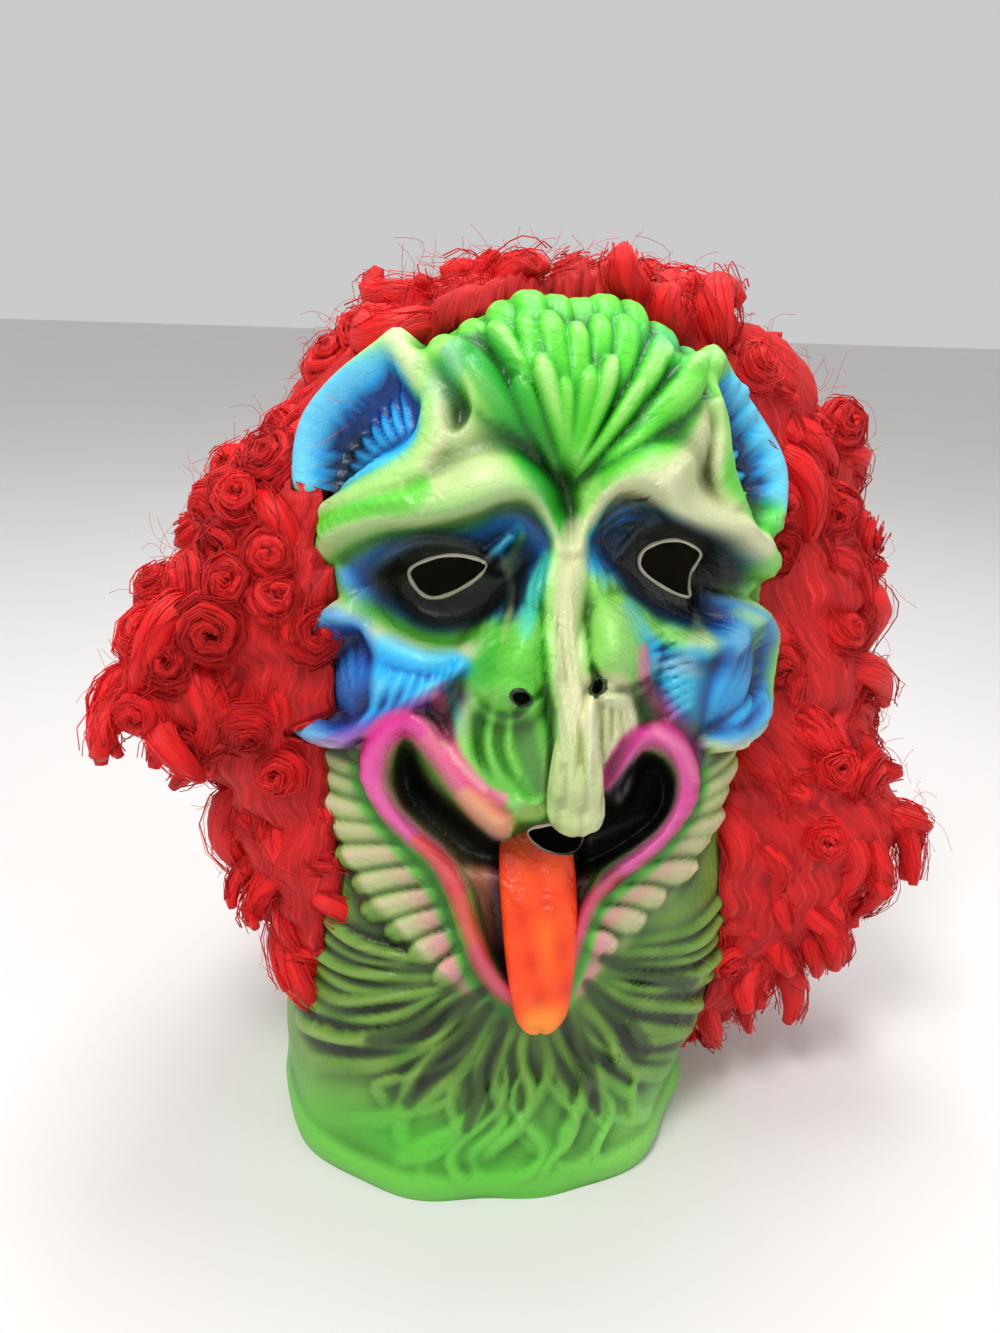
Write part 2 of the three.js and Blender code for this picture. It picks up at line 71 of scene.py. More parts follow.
# The crown's narrowing and the relief's lean stop here; no ridge is narrower
LEAST_NARROW = 0.12
LEAST_RISE = 0.78
LEAST_WIDE = 0.01
RIB_STEPS = 16
# The relief leans towards this point in front of the face, as the undercuts of the casting do
RELIEF_TOWARDS = (-100.7, -463.6, 394.0)


def smooth(low, high, x):
    """0 at low, 1 at high and a soft step between them."""
    t = np.clip((x - low) / (high - low), 0, 1)
    return t * t * (3 - 2 * t)


def knots(x, pairs):
    """A smooth curve through (place, value) pairs."""
    at, value = np.array(pairs, float).T
    x = np.clip(x, at[0], at[-1])
    i = np.clip(np.searchsorted(at, x, side="right") - 1, 0, len(at) - 2)
    slope = np.empty(len(at))
    slope[1:-1] = (value[2:] - value[:-2]) / (at[2:] - at[:-2])
    slope[0] = (value[1] - value[0]) / (at[1] - at[0])
    slope[-1] = (value[-1] - value[-2]) / (at[-1] - at[-2])
    h = at[i + 1] - at[i]
    t = (x - at[i]) / h
    near = (2 * t**3 - 3 * t**2 + 1) * value[i] + (t**3 - 2 * t**2 + t) * h * slope[i]
    return near + (3 * t**2 - 2 * t**3) * value[i + 1] + (t**3 - t**2) * h * slope[i + 1]


def spline(points, steps=10, closed=False):
    """A smooth line through rows of numbers."""
    p = np.asarray(points, float)
    if closed:
        q = np.vstack([p[-1:], p, p[:2]])
    else:
        q = np.vstack([2 * p[0] - p[1], p, 2 * p[-1] - p[-2]])
    t = np.linspace(0, 1, steps, endpoint=False)[:, None]
    line = []
    for a, b, c, d in zip(q[:-3], q[1:-2], q[2:-1], q[3:]):
        square, cube = 2 * a - 5 * b + 4 * c - d, 3 * b - 3 * c + d - a
        line.append(0.5 * (2 * b + (c - a) * t + square * t**2 + cube * t**3))
    line.append(p[:1] if closed else p[-1:])
    return np.vstack(line)


def tilt_at(w):
    """How far the surface tilts over: 0 below the crown's centre, a right angle at the top."""
    return np.clip((w - CROWN_HEIGHT) / MAP_RADIUS, 0, math.pi / 2)


def narrowing(w):
    """The length of a step across the map, which shrinks over the crown."""
    return np.maximum(np.cos(tilt_at(w)), LEAST_NARROW)


def unit(v, spare=1e-9):
    """Vectors of length 1."""
    return v / (np.linalg.norm(v, axis=-1, keepdims=True) + spare)


def head_radius(u, w):
    """The plain head's radius in millimetres: a rounded box whose neck is slimmer at its right."""
    angle = u / MAP_RADIUS
    depth = np.where(np.cos(angle) > 0, knots(w, FRONT), knots(w, BEHIND))
    across = np.abs(np.sin(angle) / knots(w, SIDE)) ** SECTION
    taper = NECK_TAPER * smooth(30, 110, u) * (1 - smooth(230, 300, u)) * (1 - smooth(10, 100, w))
    return (across + np.abs(np.cos(angle) / depth) ** SECTION) ** (-1 / SECTION) * (1 - taper)


def place(u, w, radius):
    """From the unrolled face to space, in metres: upright below the crown, tilting over above."""
    angle = u / MAP_RADIUS
    tilt = tilt_at(w)
    level = radius * np.cos(tilt)
    x = level * np.sin(angle) + knots(w, LEAN) + FACE_CENTRE[0]
    y = -level * np.cos(angle) + FACE_CENTRE[1]
    z = np.minimum(w, CROWN_HEIGHT) + radius * np.sin(tilt)
    return np.stack([x, y, z], -1) * MM


def relief_way(u, w):
    """The way that carving rises, leaning to the front where that is in sight, and the way out."""
    angle, tilt = u / MAP_RADIUS, tilt_at(w)
    level = np.cos(tilt)
    out = np.stack([level * np.sin(angle), -level * np.cos(angle), np.sin(tilt)], -1)
    ahead = unit(np.array(RELIEF_TOWARDS) * MM - place(u, w, head_radius(u, w)), 0)
    seen = (out * ahead).sum(-1)
    lean = smooth(0.12, 0.5, seen) * (1 - smooth(68, 108, np.abs(u)))
    lean = lean * (1 - smooth(318, 360, w)) * smooth(0, 60, w)
    way = out + (ahead - out) * lean[..., None]
    return way / np.maximum((way * out).sum(-1), LEAST_RISE)[..., None], out


def carved(u, w, height):
    """A point of the carved surface, in metres."""
    way, _ = relief_way(u, w)
    return place(u, w, head_radius(u, w)) + way * (height * MM)[..., None]


def share_across(away, wide):
    """0 on a line, 1 at its edge and beyond."""
    return np.clip(away / np.maximum(wide, LEAST_WIDE), 0, 1)


class Chart:
    """Points (u, w) of the unrolled face, on which ridges, ribs and fields are drawn."""

    def __init__(self, u, w):
        self.u = np.ravel(u)
        self.w = np.ravel(w)
        self.narrow = narrowing(self.w)

    def near(self, path, reach):
        """The points near a line: which, how far, on which side, and the line's columns there."""
        low, high = path[:, :2].min(0), path[:, :2].max(0)
        wide = reach / narrowing(high[1] + reach / 2)
        inside = (self.w >= low[1] - reach) & (self.w <= high[1] + reach)
        inside &= (self.u >= low[0] - wide) & (self.u <= high[0] + wide)
        chosen = np.nonzero(inside)[0]
        a, b = path[:-1], path[1:]
        k = self.narrow[chosen][:, None]
        dx = (b[:, 0] - a[:, 0]) * k
        dy = b[:, 1] - a[:, 1]
        ax = (self.u[chosen][:, None] - a[:, 0]) * k
        ay = self.w[chosen][:, None] - a[:, 1]
        t = np.clip((ax * dx + ay * dy) / (dx**2 + dy**2 + 1e-9), 0, 1)
        ex, ey = ax - t * dx, ay - t * dy
        away = ex**2 + ey**2
        j = away.argmin(1)
        r = np.arange(len(chosen))
        side = np.sign(dx[r, j] * ey[r, j] - dy[j] * ex[r, j])
        columns = a[j, 2:] + (b[j, 2:] - a[j, 2:]) * t[r, j][:, None]
        return chosen, np.sqrt(away[r, j]), side, columns

    def ridge(self, rows):
        """A ridge of (u, w, width at left, width at right, height): which, share, height."""
        path = spline(rows, 8)
        chosen, away, side, columns = self.near(path, path[:, 2:4].max())
        wide = np.where(side > 0, columns[:, 0], columns[:, 1])
        return chosen, share_across(away, wide), columns[:, 2]

    def ribs(self, guides, count, width, height, rise, fall, wave=0, uneven=0):
        """The height of ribs spread evenly over guide lines.

        They rise and fall over these shares of their length and wave that far aside, and every
        second one is lower by the share uneven.
        """
        even = []
        for guide in guides:
            line = spline(guide, 8)
            far = np.concatenate([[0], np.cumsum(np.hypot(*np.diff(line, axis=0).T))])
            at = np.linspace(0, far[-1], RIB_STEPS)
            even.append([np.interp(at, far, line[:, c]) for c in (0, 1)])
        even = np.array(even)
        t = np.linspace(0, 1, RIB_STEPS)
        edge = smooth(0, rise, t) * smooth(0, fall, 1 - t)
        wide = np.interp(t, np.linspace(0, 1, len(width)), width)
        high = np.interp(t, np.linspace(0, 1, len(height)), height) * edge
        places = np.linspace(0, 1, len(guides))
        most = np.zeros(len(self.u))
        for i in range(count):
            share = np.array([i / (count - 1)])
            line = np.array([
                [knots(share, list(zip(places, even[:, c, s])))[0] for c in (0, 1)]
                for s in range(RIB_STEPS)
            ])
            line[:, 0] += wave * np.sin(t * 7.5 + i * 0.9 + 1.5 * math.sin(i * 2.6)) * t
            path = np.column_stack([line, wide, high * (1 - uneven * (i % 2))])
            chosen, away, _, columns = self.near(path, max(width))
            rib = (1 - share_across(away, columns[:, 0]) ** 2) ** 2 * columns[:, 1]
            most[chosen] = np.where(np.abs(rib) > np.abs(most[chosen]), rib, most[chosen])
        return most

    def area(self, outline, soft):
        """The share 0..1 of each point within a closed outline with a soft edge."""
        path = spline(outline, 8, True)
        share = np.zeros(len(self.u))
        (u0, w0), (u1, w1) = path.min(0), path.max(0)
        inside = (self.u >= u0) & (self.u <= u1) & (self.w >= w0) & (self.w <= w1)
        box = np.nonzero(inside)[0]
        x, y = self.u[box][:, None], self.w[box][:, None]
        (x0, y0), (x1, y1) = path[:-1, :2].T, path[1:, :2].T
        crosses = (y0 <= y) != (y1 <= y)
        at = x0 + (y - y0) / np.where(np.abs(y1 - y0) < 1e-9, 1e-9, y1 - y0) * (x1 - x0)
        share[box] = (crosses & (x < at)).sum(1) % 2
        chosen, away, _, _ = self.near(path, soft * 1.01)
        share[chosen] = smooth(-soft, soft, np.where(share[chosen] > 0.5, away, -away))
        return share

    def mound(self, u, w, wide, high):
        """1 in the middle of a soft round spot, falling to 0 around it."""
        return np.exp(-(((self.u - u) * self.narrow / wide) ** 2) - ((self.w - w) / high) ** 2)


def follow(worker, steps):
    """Has the worker take each step: the name of a method and what it is given."""
    for name, *given in steps:
        getattr(worker, name)(*given)


NOSE_BODY = ((184, 0), (198, 10), (222, 17), (250, 16), (285, 10), (312, 4), (325, 0))
NOSE_WIDTH = ((184, 40), (215, 46), (250, 54), (285, 34), (325, 20))

# The carving, in order. Each step names a method of Carver and says what it is given:
#   mound, ball       u, w, half width, half height, height; a soft hill or a rounder one
#   ridge             rows of u, w, width on its left, width on its right, height
#   blend             the same rows, for a ridge that covers what is there
#   roll              rows of u, w, half width, height; a rounded roll that stands on what is there
#   field             softness of its edge, height, outline
#   ribs              count, widths, heights, (rise, fall, wave, uneven), guide lines
#   tendrils          the same, broken up along their way
#   ground            what the lobes after it stand on
#   lobes             root's u and w, tip's u and w, half width, height of each
#   row               start, half width, height, lift, tips; lobes that spread from the hub
#   nose, crest, neck forms of their own
CARVING = (
    ("mound", -52, 346, 20, 22, 9),
    ("mound", -82, 326, 20, 12, 6),
    ("mound", 56, 344, 17, 20, 11),
    ("mound", 30, 340, 12, 10, 5),
    ("ridge", (-58, 368, 6, 8, 4), (-66, 352, 7, 10, 6), (-78, 338, 7, 10, 7), (-98, 322, 6, 9, 5),
     (-112, 310, 5, 6, 2)),
    ("ridge", (50, 366, 8, 6, 4), (66, 362, 10, 6, 8), (75, 348, 12, 5, 10), (76, 332, 12, 5, 10),
     (84, 318, 10, 5, 7)),
    ("ridge", (0, 300, 8, 8, -1), (-3, 325, 10, 9, -5), (-14, 345, 12, 8, -6),
     (-34, 362, 10, 8, -6), (-54, 374, 8, 8, -3)),
    # brows
    ("ridge", (-4, 306, 6, 8, 3), (-10, 318, 6, 12, 7), (-20, 329, 6, 16, 13),
     (-34, 329, 6, 18, 15), (-50, 322, 6, 18, 15), (-68, 315, 6, 18, 14), (-86, 309, 6, 18, 12),
     (-104, 299, 6, 16, 9), (-118, 286, 6, 10, 3)),
    ("ridge", (6, 306, 8, 6, 3), (11, 320, 12, 6, 7), (19, 331, 16, 6, 12), (30, 333, 18, 6, 15),
     (44, 328, 18, 6, 16), (58, 318, 18, 7, 15), (78, 309, 18, 8, 13), (98, 297, 16, 8, 12),
     (112, 286, 14, 8, 12), (124, 280, 8, 6, 4)),
    # sockets, lids and the bags under the eyes
    ("field", 9, -11, (-96, 284), (-82, 297), (-66, 305), (-48, 310), (-28, 312), (-17, 300),
     (-22, 284), (-36, 272), (-60, 264), (-84, 271)),
    ("field", 9, -11, (16, 310), (32, 318), (52, 314), (78, 299), (98, 283), (92, 270), (74, 265),
     (52, 270), (32, 280), (20, 294)),
    ("field", 8, -4, (-88, 283), (-66, 298), (-46, 300), (-34, 290), (-40, 278), (-62, 270),
     (-80, 275)),
    ("field", 8, -4, (32, 300), (46, 309), (72, 300), (90, 284), (84, 272), (60, 276), (38, 288)),
    ("ridge", (-96, 283, 4, 4, 1), (-80, 297, 4, 5, 3), (-66, 303, 4, 6, 4), (-48, 302, 4, 6, 4),
     (-34, 294, 4, 5, 2)),
    ("ridge", (28, 301, 5, 4, 2), (38, 312, 6, 4, 4), (54, 313, 6, 4, 4), (78, 300, 5, 4, 3),
     (98, 283, 4, 4, 1)),
    ("ridge", (-104, 284, 5, 9, 3), (-96, 270, 6, 10, 5), (-80, 260, 6, 10, 6),
     (-58, 256, 6, 9, 5), (-42, 262, 5, 8, 3), (-33, 278, 4, 5, 2)),
    ("ridge", (104, 276, 9, 5, 3), (92, 264, 10, 6, 5), (76, 258, 10, 6, 6), (60, 264, 9, 6, 5),
     (40, 274, 7, 5, 3), (26, 290, 5, 4, 2)),
    ("ridge", (-30, 310, 4, 3, 5), (-38, 302, 5, 3, 6), (-42, 296, 4, 3, 2)),
    # cheek bones and the fins beside them
    ("mound", -72, 246, 24, 12, 12),
    ("mound", -100, 236, 16, 22, 6),
    ("mound", 64, 244, 14, 20, 9),
    ("mound", 92, 244, 14, 24, 8),
    ("ridge", (-103, 272, 14, 3, 9), (-118, 256, 16, 5, 17), (-124, 236, 16, 5, 20),
     (-116, 219, 14, 5, 17), (-98, 216, 10, 4, 10), (-80, 228, 8, 3, 5), (-60, 242, 7, 3, 3)),
    ("ridge", (94, 274, 3, 12, 8), (112, 262, 4, 14, 16), (122, 246, 4, 14, 18),
     (118, 226, 4, 14, 16), (100, 213, 4, 10, 12), (80, 212, 4, 8, 8)),
    ("ribs", 9, (2, 4, 5), (-1.2, -2.8, -3.2), (0.3, 0.15), [(-92, 224), (-88, 248), (-98, 266)],
     [(-92, 224), (-106, 244), (-116, 252)], [(-92, 224), (-110, 228), (-120, 226)]),
    ("ribs", 8, (2.5, 3.5, 3), (1.6, 3.4, 2), (0.25, 0.3), [(-92, 222), (-84, 234), (-80, 250)],
     [(-72, 230), (-66, 240), (-62, 252)], [(-56, 244), (-52, 250), (-48, 256)]),
    ("ribs", 9, (2, 4.5, 5.5), (1.2, 3.4, 4.2), (0.3, 0.15), [(78, 214), (82, 240), (92, 268)],
     [(78, 214), (98, 238), (112, 256)], [(78, 214), (102, 220), (118, 228)]),
    ("ribs", 9, (2.5, 3, 3), (1.6, 3, 2), (0.25, 0.2), [(44, 262), (58, 266), (74, 262)],
     [(48, 246), (60, 247), (75, 250)], [(54, 226), (62, 230), (73, 234)]),
    # nose: body, wings, ridge, the folds that hang under the wings and their wrinkles
    ("nose",),
    ("ridge", (-10, 300, 10, 10, 2), (-14, 286, 14, 14, 5), (-19, 270, 18, 18, 6),
     (-22, 258, 12, 12, 2)),
    ("ridge", (12, 302, 10, 10, 2), (18, 290, 14, 14, 5), (26, 276, 18, 18, 6),
     (30, 264, 12, 12, 2)),
    ("ball", -25, 254, 28, 25, 20),
    ("ball", 32, 259, 24, 24, 19),
    ("ribs", 8, (1.2, 1.8, 1.2), (0.6, 1.3, 0.6), (0.3, 0.3, 2),
     [(-47, 256), (-38, 270), (-18, 276)], [(-46, 246), (-34, 258), (-14, 262)],
     [(-44, 238), (-32, 246), (-16, 252)]),
    ("ribs", 8, (1.2, 1.8, 1.2), (0.6, 1.3, 0.6), (0.3, 0.3, 2), [(50, 262), (42, 276), (22, 282)],
     [(50, 252), (40, 264), (20, 270)], [(48, 246), (38, 252), (20, 258)]),
    ("field", 5, 5, (-50, 236), (-50, 214), (-41, 202), (-26, 193), (-4, 190), (-2, 215),
     (-6, 234), (-20, 246), (-38, 246)),
    ("field", 3, 11, (16, 241), (36, 240), (42, 222), (39, 206), (33, 195), (24, 198), (16, 206)),
    ("ridge", (-42, 248, 8, 7, 1), (-46, 232, 8, 8, 5), (-44, 217, 8, 8, 7), (-36, 206, 8, 8, 7),
     (-24, 198, 7, 7, 7), (-8, 194, 6, 6, 6)),
    ("ridge", (-32, 240, 4, 4, 1), (-34, 224, 4, 5, 4), (-28, 210, 4, 5, 4), (-16, 200, 4, 4, 2)),
    ("ridge", (-24, 238, 3, 4, 1), (-24, 222, 3, 4, 3), (-18, 210, 3, 4, 2)),
    ("ribs", 5, (2, 2.6, 2.8), (1.6, 3.4, 2.8), (0.2, 0.06, 2), [(20, 240), (20, 222), (22, 200)],
     [(28, 242), (30, 226), (29, 197)], [(37, 240), (40, 222), (35, 198)]),
    ("roll", (2, 324, 8, 1), (1, 306, 10, 4), (0, 290, 12, 7), (1, 272, 12, 9), (4, 254, 12, 11),
     (7, 238, 12, 14), (9, 222, 12, 17), (10, 206, 12.5, 20), (9, 197, 13, 21), (8, 189, 10, 16)),
    ("ribs", 6, (1, 1.6, 1.4), (0.5, 1.4, 0.9), (0.2, 0.2, 2),
     [(-3, 300), (-5, 262), (2, 225), (4, 196)], [(3, 300), (6, 262), (14, 225), (16, 196)]),
    ("ridge", (-42, 242, 2, 3, -2), (-33, 236, 2.5, 3, -3), (-22, 235, 2.5, 3, -4),
     (-9, 244, 2.5, 3, -3)),
    ("ridge", (47, 246, 3, 2, -3), (36, 243, 3, 2.5, -4), (24, 243, 3, 2.5, -5),
     (17, 252, 3, 2.5, -3)),
    ("ribs", 8, (1.2, 1.8, 1.6), (0.6, 1.5, 0.8), (0.2, 0.3), [(-9, 304), (-10, 286), (-9, 270)],
     [(-16, 300), (-26, 282), (-22, 270)], [(-24, 292), (-38, 278), (-44, 256)]),
    ("ribs", 8, (1.2, 1.8, 1.6), (0.6, 1.5, 0.8), (0.2, 0.3), [(10, 304), (12, 288), (13, 276)],
     [(18, 300), (28, 290), (32, 280)], [(24, 296), (42, 282), (50, 264)]),
    # mouth: hollow corners, the trough round the tongue, and the lips
    ("field", 6, -17, (-71, 216), (-66, 212), (-58, 203), (-48, 195), (-36, 186), (-26, 182),
     (-14, 190), (0, 194), (10, 190), (12, 172), (-6, 168), (-30, 170), (-45, 172), (-58, 180),
     (-70, 190), (-75, 202)),
    ("field", 6, -17, (8, 192), (22, 200), (34, 212), (44, 217), (56, 209), (60, 196), (57, 184),
     (44, 174), (28, 168), (8, 166)),
    ("field", 6, -5, (-38, 174), (-32, 150), (-24, 120), (-15, 102), (-2, 98), (8, 106), (12, 130),
     (18, 150), (30, 170), (0, 176)),
    ("blend", (-26, 190, 9, 8, 11), (-36, 199, 9, 8, 12), (-46, 209, 9, 8, 12),
     (-56, 219, 8, 7, 11), (-66, 227, 8, 7, 11), (-75, 228, 8, 7, 11), (-82, 217, 8, 7, 12),
     (-83, 203, 8, 7, 12), (-76, 190, 7, 7, 12), (-66, 181, 7, 7, 12), (-54, 172, 7, 7, 12),
     (-45, 158, 7, 7, 12), (-38, 136, 7, 6, 12), (-30, 118, 7, 6, 12), (-18, 105, 7, 6, 11),
     (-4, 100, 6, 6, 9)),
    ("blend", (27, 208, 7, 7, 6), (37, 219, 7, 7, 9), (49, 222, 8, 8, 12), (61, 215, 8, 8, 13),
     (68, 202, 8, 8, 13), (67, 188, 8, 8, 12), (58, 177, 7, 7, 11), (45, 169, 7, 7, 10),
     (32, 162, 6, 7, 9), (23, 149, 5, 6, 7), (19, 133, 4, 6, 6), (16, 118, 4, 6, 6),
     (10, 106, 4, 6, 6), (-4, 100, 6, 6, 7)),
    ("mound", -8, 128, 44, 34, 7),
    # petals of the cheeks: long folds that start at the lips and point outwards
    ("ground",),
    ("lobes", (-86, 210, -116, 218, 7.2, 4.5), (-86, 202, -122, 205, 7.4, 5.5),
     (-84, 194, -119, 193, 7.2, 4.5), (-79, 186, -115, 181, 7.4, 5.5),
     (-72, 179, -106, 171, 7.2, 4.5), (-65, 172, -100, 160, 7.4, 5.5),
     (-58, 164, -90, 150, 7.2, 4.5), (-52, 155, -84, 139, 7.4, 5.5),
     (-47, 146, -73, 131, 7.2, 4.5), (-42, 136, -62, 122, 7.2, 4.5), (-37, 126, -50, 112, 6.5, 4)),
    ("lobes", (74, 212, 108, 226, 7.2, 4.5), (74, 204, 116, 213, 7.4, 5.5),
     (71, 196, 112, 203, 7.2, 4.5), (66, 188, 112, 192, 7.4, 5.5), (59, 181, 102, 182, 7.2, 4.5),
     (51, 175, 98, 171, 7.4, 5.5), (43, 169, 86, 164, 7.2, 4.5), (35, 162, 78, 153, 7.4, 5.5),
     (28, 154, 60, 144, 7.2, 4.5), (22, 145, 50, 134, 7.2, 4.5), (18, 134, 36, 124, 6.5, 4)),
    # ribs of the temple and lobes at the brow's outer end
    ("ribs", 10, (2, 3, 2.5), (1.2, 2.6, 1.2), (0.25, 0.25), [(-74, 316), (-80, 326), (-82, 336)],
     [(-90, 308), (-98, 318), (-102, 326)], [(-104, 296), (-112, 304), (-118, 310)]),
    ("ribs", 6, (3.5, 5, 4.5), (2, 5, 5), (0.2, 0.12), [(74, 326), (82, 332), (90, 334)],
     [(88, 314), (97, 320), (104, 320)], [(102, 300), (112, 304), (120, 302)]),
    ("ribs", 3, (4, 5, 5), (2, 4, 4), (0.2, 0.1), [(104, 284), (112, 282), (120, 276)],
     [(106, 272), (116, 270), (124, 266)]),
    # crest: rows of fat lobes that spread from a hub, each row over the next one's roots
    ("crest",),
    ("ground",),
    ("row", 0.3, 7.2, 6.5, 0, (-80, 376), (-68, 386), (-53, 396), (-35, 407), (-10, 414),
     (16, 416), (40, 410), (58, 400), (74, 388), (88, 376)),
    ("row", 0.2, 6.2, 6.5, 2, (-58, 372), (-46, 382), (-32, 388), (-16, 387), (0, 383), (17, 388),
     (35, 387), (50, 377), (63, 364)),
    ("row", 0.08, 4.8, 6, 4, (-30, 362), (-19, 368), (-8, 363), (4, 366), (15, 369), (28, 361)),
    # ear cups: pointed rim, hollow with ribs, outer rim
    ("blend", (-58, 352, 8, 8, 3), (-66, 358, 7, 8, 7), (-78, 362, 7, 8, 11), (-92, 367, 7, 7, 15),
     (-102, 371, 6, 6, 17)),
    ("blend", (-72, 361, 7, 7, 9), (-66, 350, 8, 7, 10), (-68, 340, 8, 7, 10),
     (-80, 328, 8, 7, 10), (-98, 317, 6, 8, 8), (-112, 309, 7, 6, 6)),
    ("field", 7, -8, (-78, 354), (-72, 346), (-76, 337), (-88, 328), (-104, 318), (-122, 314),
     (-128, 336), (-116, 352), (-98, 360)),
    ("blend", (-102, 371, 7, 8, 17), (-114, 362, 7, 8, 16), (-124, 350, 7, 9, 16),
     (-128, 334, 7, 9, 16), (-124, 314, 7, 8, 12)),
    ("ribs", 9, (1.8, 3.4, 4.2), (1.2, 3.4, 3.4), (0.25, 0.2),
     [(-80, 340), (-88, 350), (-100, 362)], [(-82, 336), (-102, 342), (-120, 352)],
     [(-84, 332), (-106, 330), (-126, 332)], [(-92, 326), (-110, 319), (-124, 314)]),
    ("blend", (70, 360, 8, 7, 4), (82, 362, 8, 7, 8), (94, 366, 7, 7, 13), (104, 370, 6, 6, 17)),
    ("blend", (84, 362, 7, 8, 8), (80, 350, 7, 8, 10), (79, 338, 7, 8, 10), (86, 322, 7, 8, 9),
     (98, 308, 6, 8, 7)),
    ("field", 7, -8, (90, 356), (85, 348), (85, 334), (92, 318), (106, 303), (124, 302),
     (130, 328), (120, 348), (102, 362)),
    ("blend", (104, 370, 8, 7, 14), (114, 360, 8, 7, 11), (122, 350, 9, 7, 10),
     (127, 338, 9, 7, 11), (128, 322, 9, 7, 13), (122, 306, 8, 7, 11), (110, 298, 7, 6, 7)),
    ("ribs", 8, (2.2, 4.4, 5.6), (1.4, 4.2, 5.5), (0.25, 0.12), [(88, 352), (96, 357), (106, 362)],
     [(88, 342), (104, 347), (120, 352)], [(92, 330), (108, 328), (126, 326)],
     [(98, 314), (110, 307), (120, 300)]),
    # fine creases of the plates and the cheeks
    ("ribs", 11, (1.2, 1.8, 1.4), (0.2, 0.7, 0.3), (0.3, 0.3, 3),
     [(-34, 336), (-62, 326), (-100, 312)], [(-40, 346), (-62, 342), (-88, 330)],
     [(-46, 356), (-62, 354), (-76, 346)]),
    ("ribs", 9, (1.2, 1.8, 1.4), (0.2, 0.7, 0.3), (0.3, 0.3, 3), [(20, 334), (46, 328), (74, 308)],
     [(30, 342), (54, 338), (80, 318)], [(40, 352), (60, 348), (74, 334)]),
    ("ribs", 5, (1.2, 1.8, 1.4), (0.3, 0.9, 0.4), (0.3, 0.3), [(-40, 262), (-62, 256), (-96, 266)],
     [(-42, 254), (-62, 250), (-86, 254)]),
    ("ribs", 5, (1.2, 2, 1.4), (0.3, 1.2, 0.5), (0.3, 0.3), [(-58, 236), (-50, 232), (-48, 218)],
     [(-74, 234), (-62, 228), (-54, 216)]),
    # tendrils down the neck, and the hem
    ("neck",),
    ("tendrils", 24, (3.4, 5.4, 6.6), (2.2, 4.8, 2.8), (0.2, 0.35, 14, 0.45),
     [(-52, 118), (-92, 122), (-150, 142)], [(-42, 112), (-92, 100), (-150, 104)],
     [(-38, 108), (-80, 80), (-132, 62)], [(-26, 94), (-50, 56), (-80, 18)],
     [(-8, 90), (-14, 52), (-22, 14)], [(10, 92), (28, 54), (40, 14)],
     [(26, 106), (68, 74), (116, 42)], [(34, 112), (80, 98), (150, 92)],
     [(44, 124), (88, 120), (150, 128)]),
    ("tendrils", 19, (2.2, 3.4, 4), (0.6, 2.4, 2), (0.25, 0.15, 16, 0.6),
     [(-34, 96), (-70, 74), (-120, 74)], [(-20, 84), (-36, 44), (-52, 10)],
     [(0, 78), (4, 40), (8, 8)], [(20, 88), (46, 50), (74, 16)], [(34, 108), (74, 92), (126, 84)]),
    ("ridge", (-150, 10, 10, 10, 2), (-60, 6, 10, 10, 3), (0, 10, 10, 10, 1), (60, 8, 10, 10, 3),
     (150, 10, 10, 10, 2)),
)


# Lobes: the crest's hub, how far they lap over the next one, their roundness and middle crease
HUB = (-3, 334)
LAP = 0.35
LOBE_ROUND = 0.65
LOBE_CREASE = 0.07
# What a lobe doesn't reach stays as it is; then the crest and the neck as a whole
UNDER = -99
CREST_WIDE = 130
CREST_HIGH = 9
NECK_THICKER = 3
# Along a lobe: the share of its length, of its half width and of its height
LEAF = ((0, 0.45, 0.1), (0.3, 0.75, 0.6), (0.6, 1, 0.95), (0.85, 1, 1.1), (0.97, 0.85, 0.9))


def leaf(u0, w0, u1, w1, wide, high):
    """The line of a lobe from its root to its tip, with the half width and height there."""
    return [(u0 + (u1 - u0) * t, w0 + (w1 - w0) * t, wide * a, high * b) for t, a, b in LEAF]


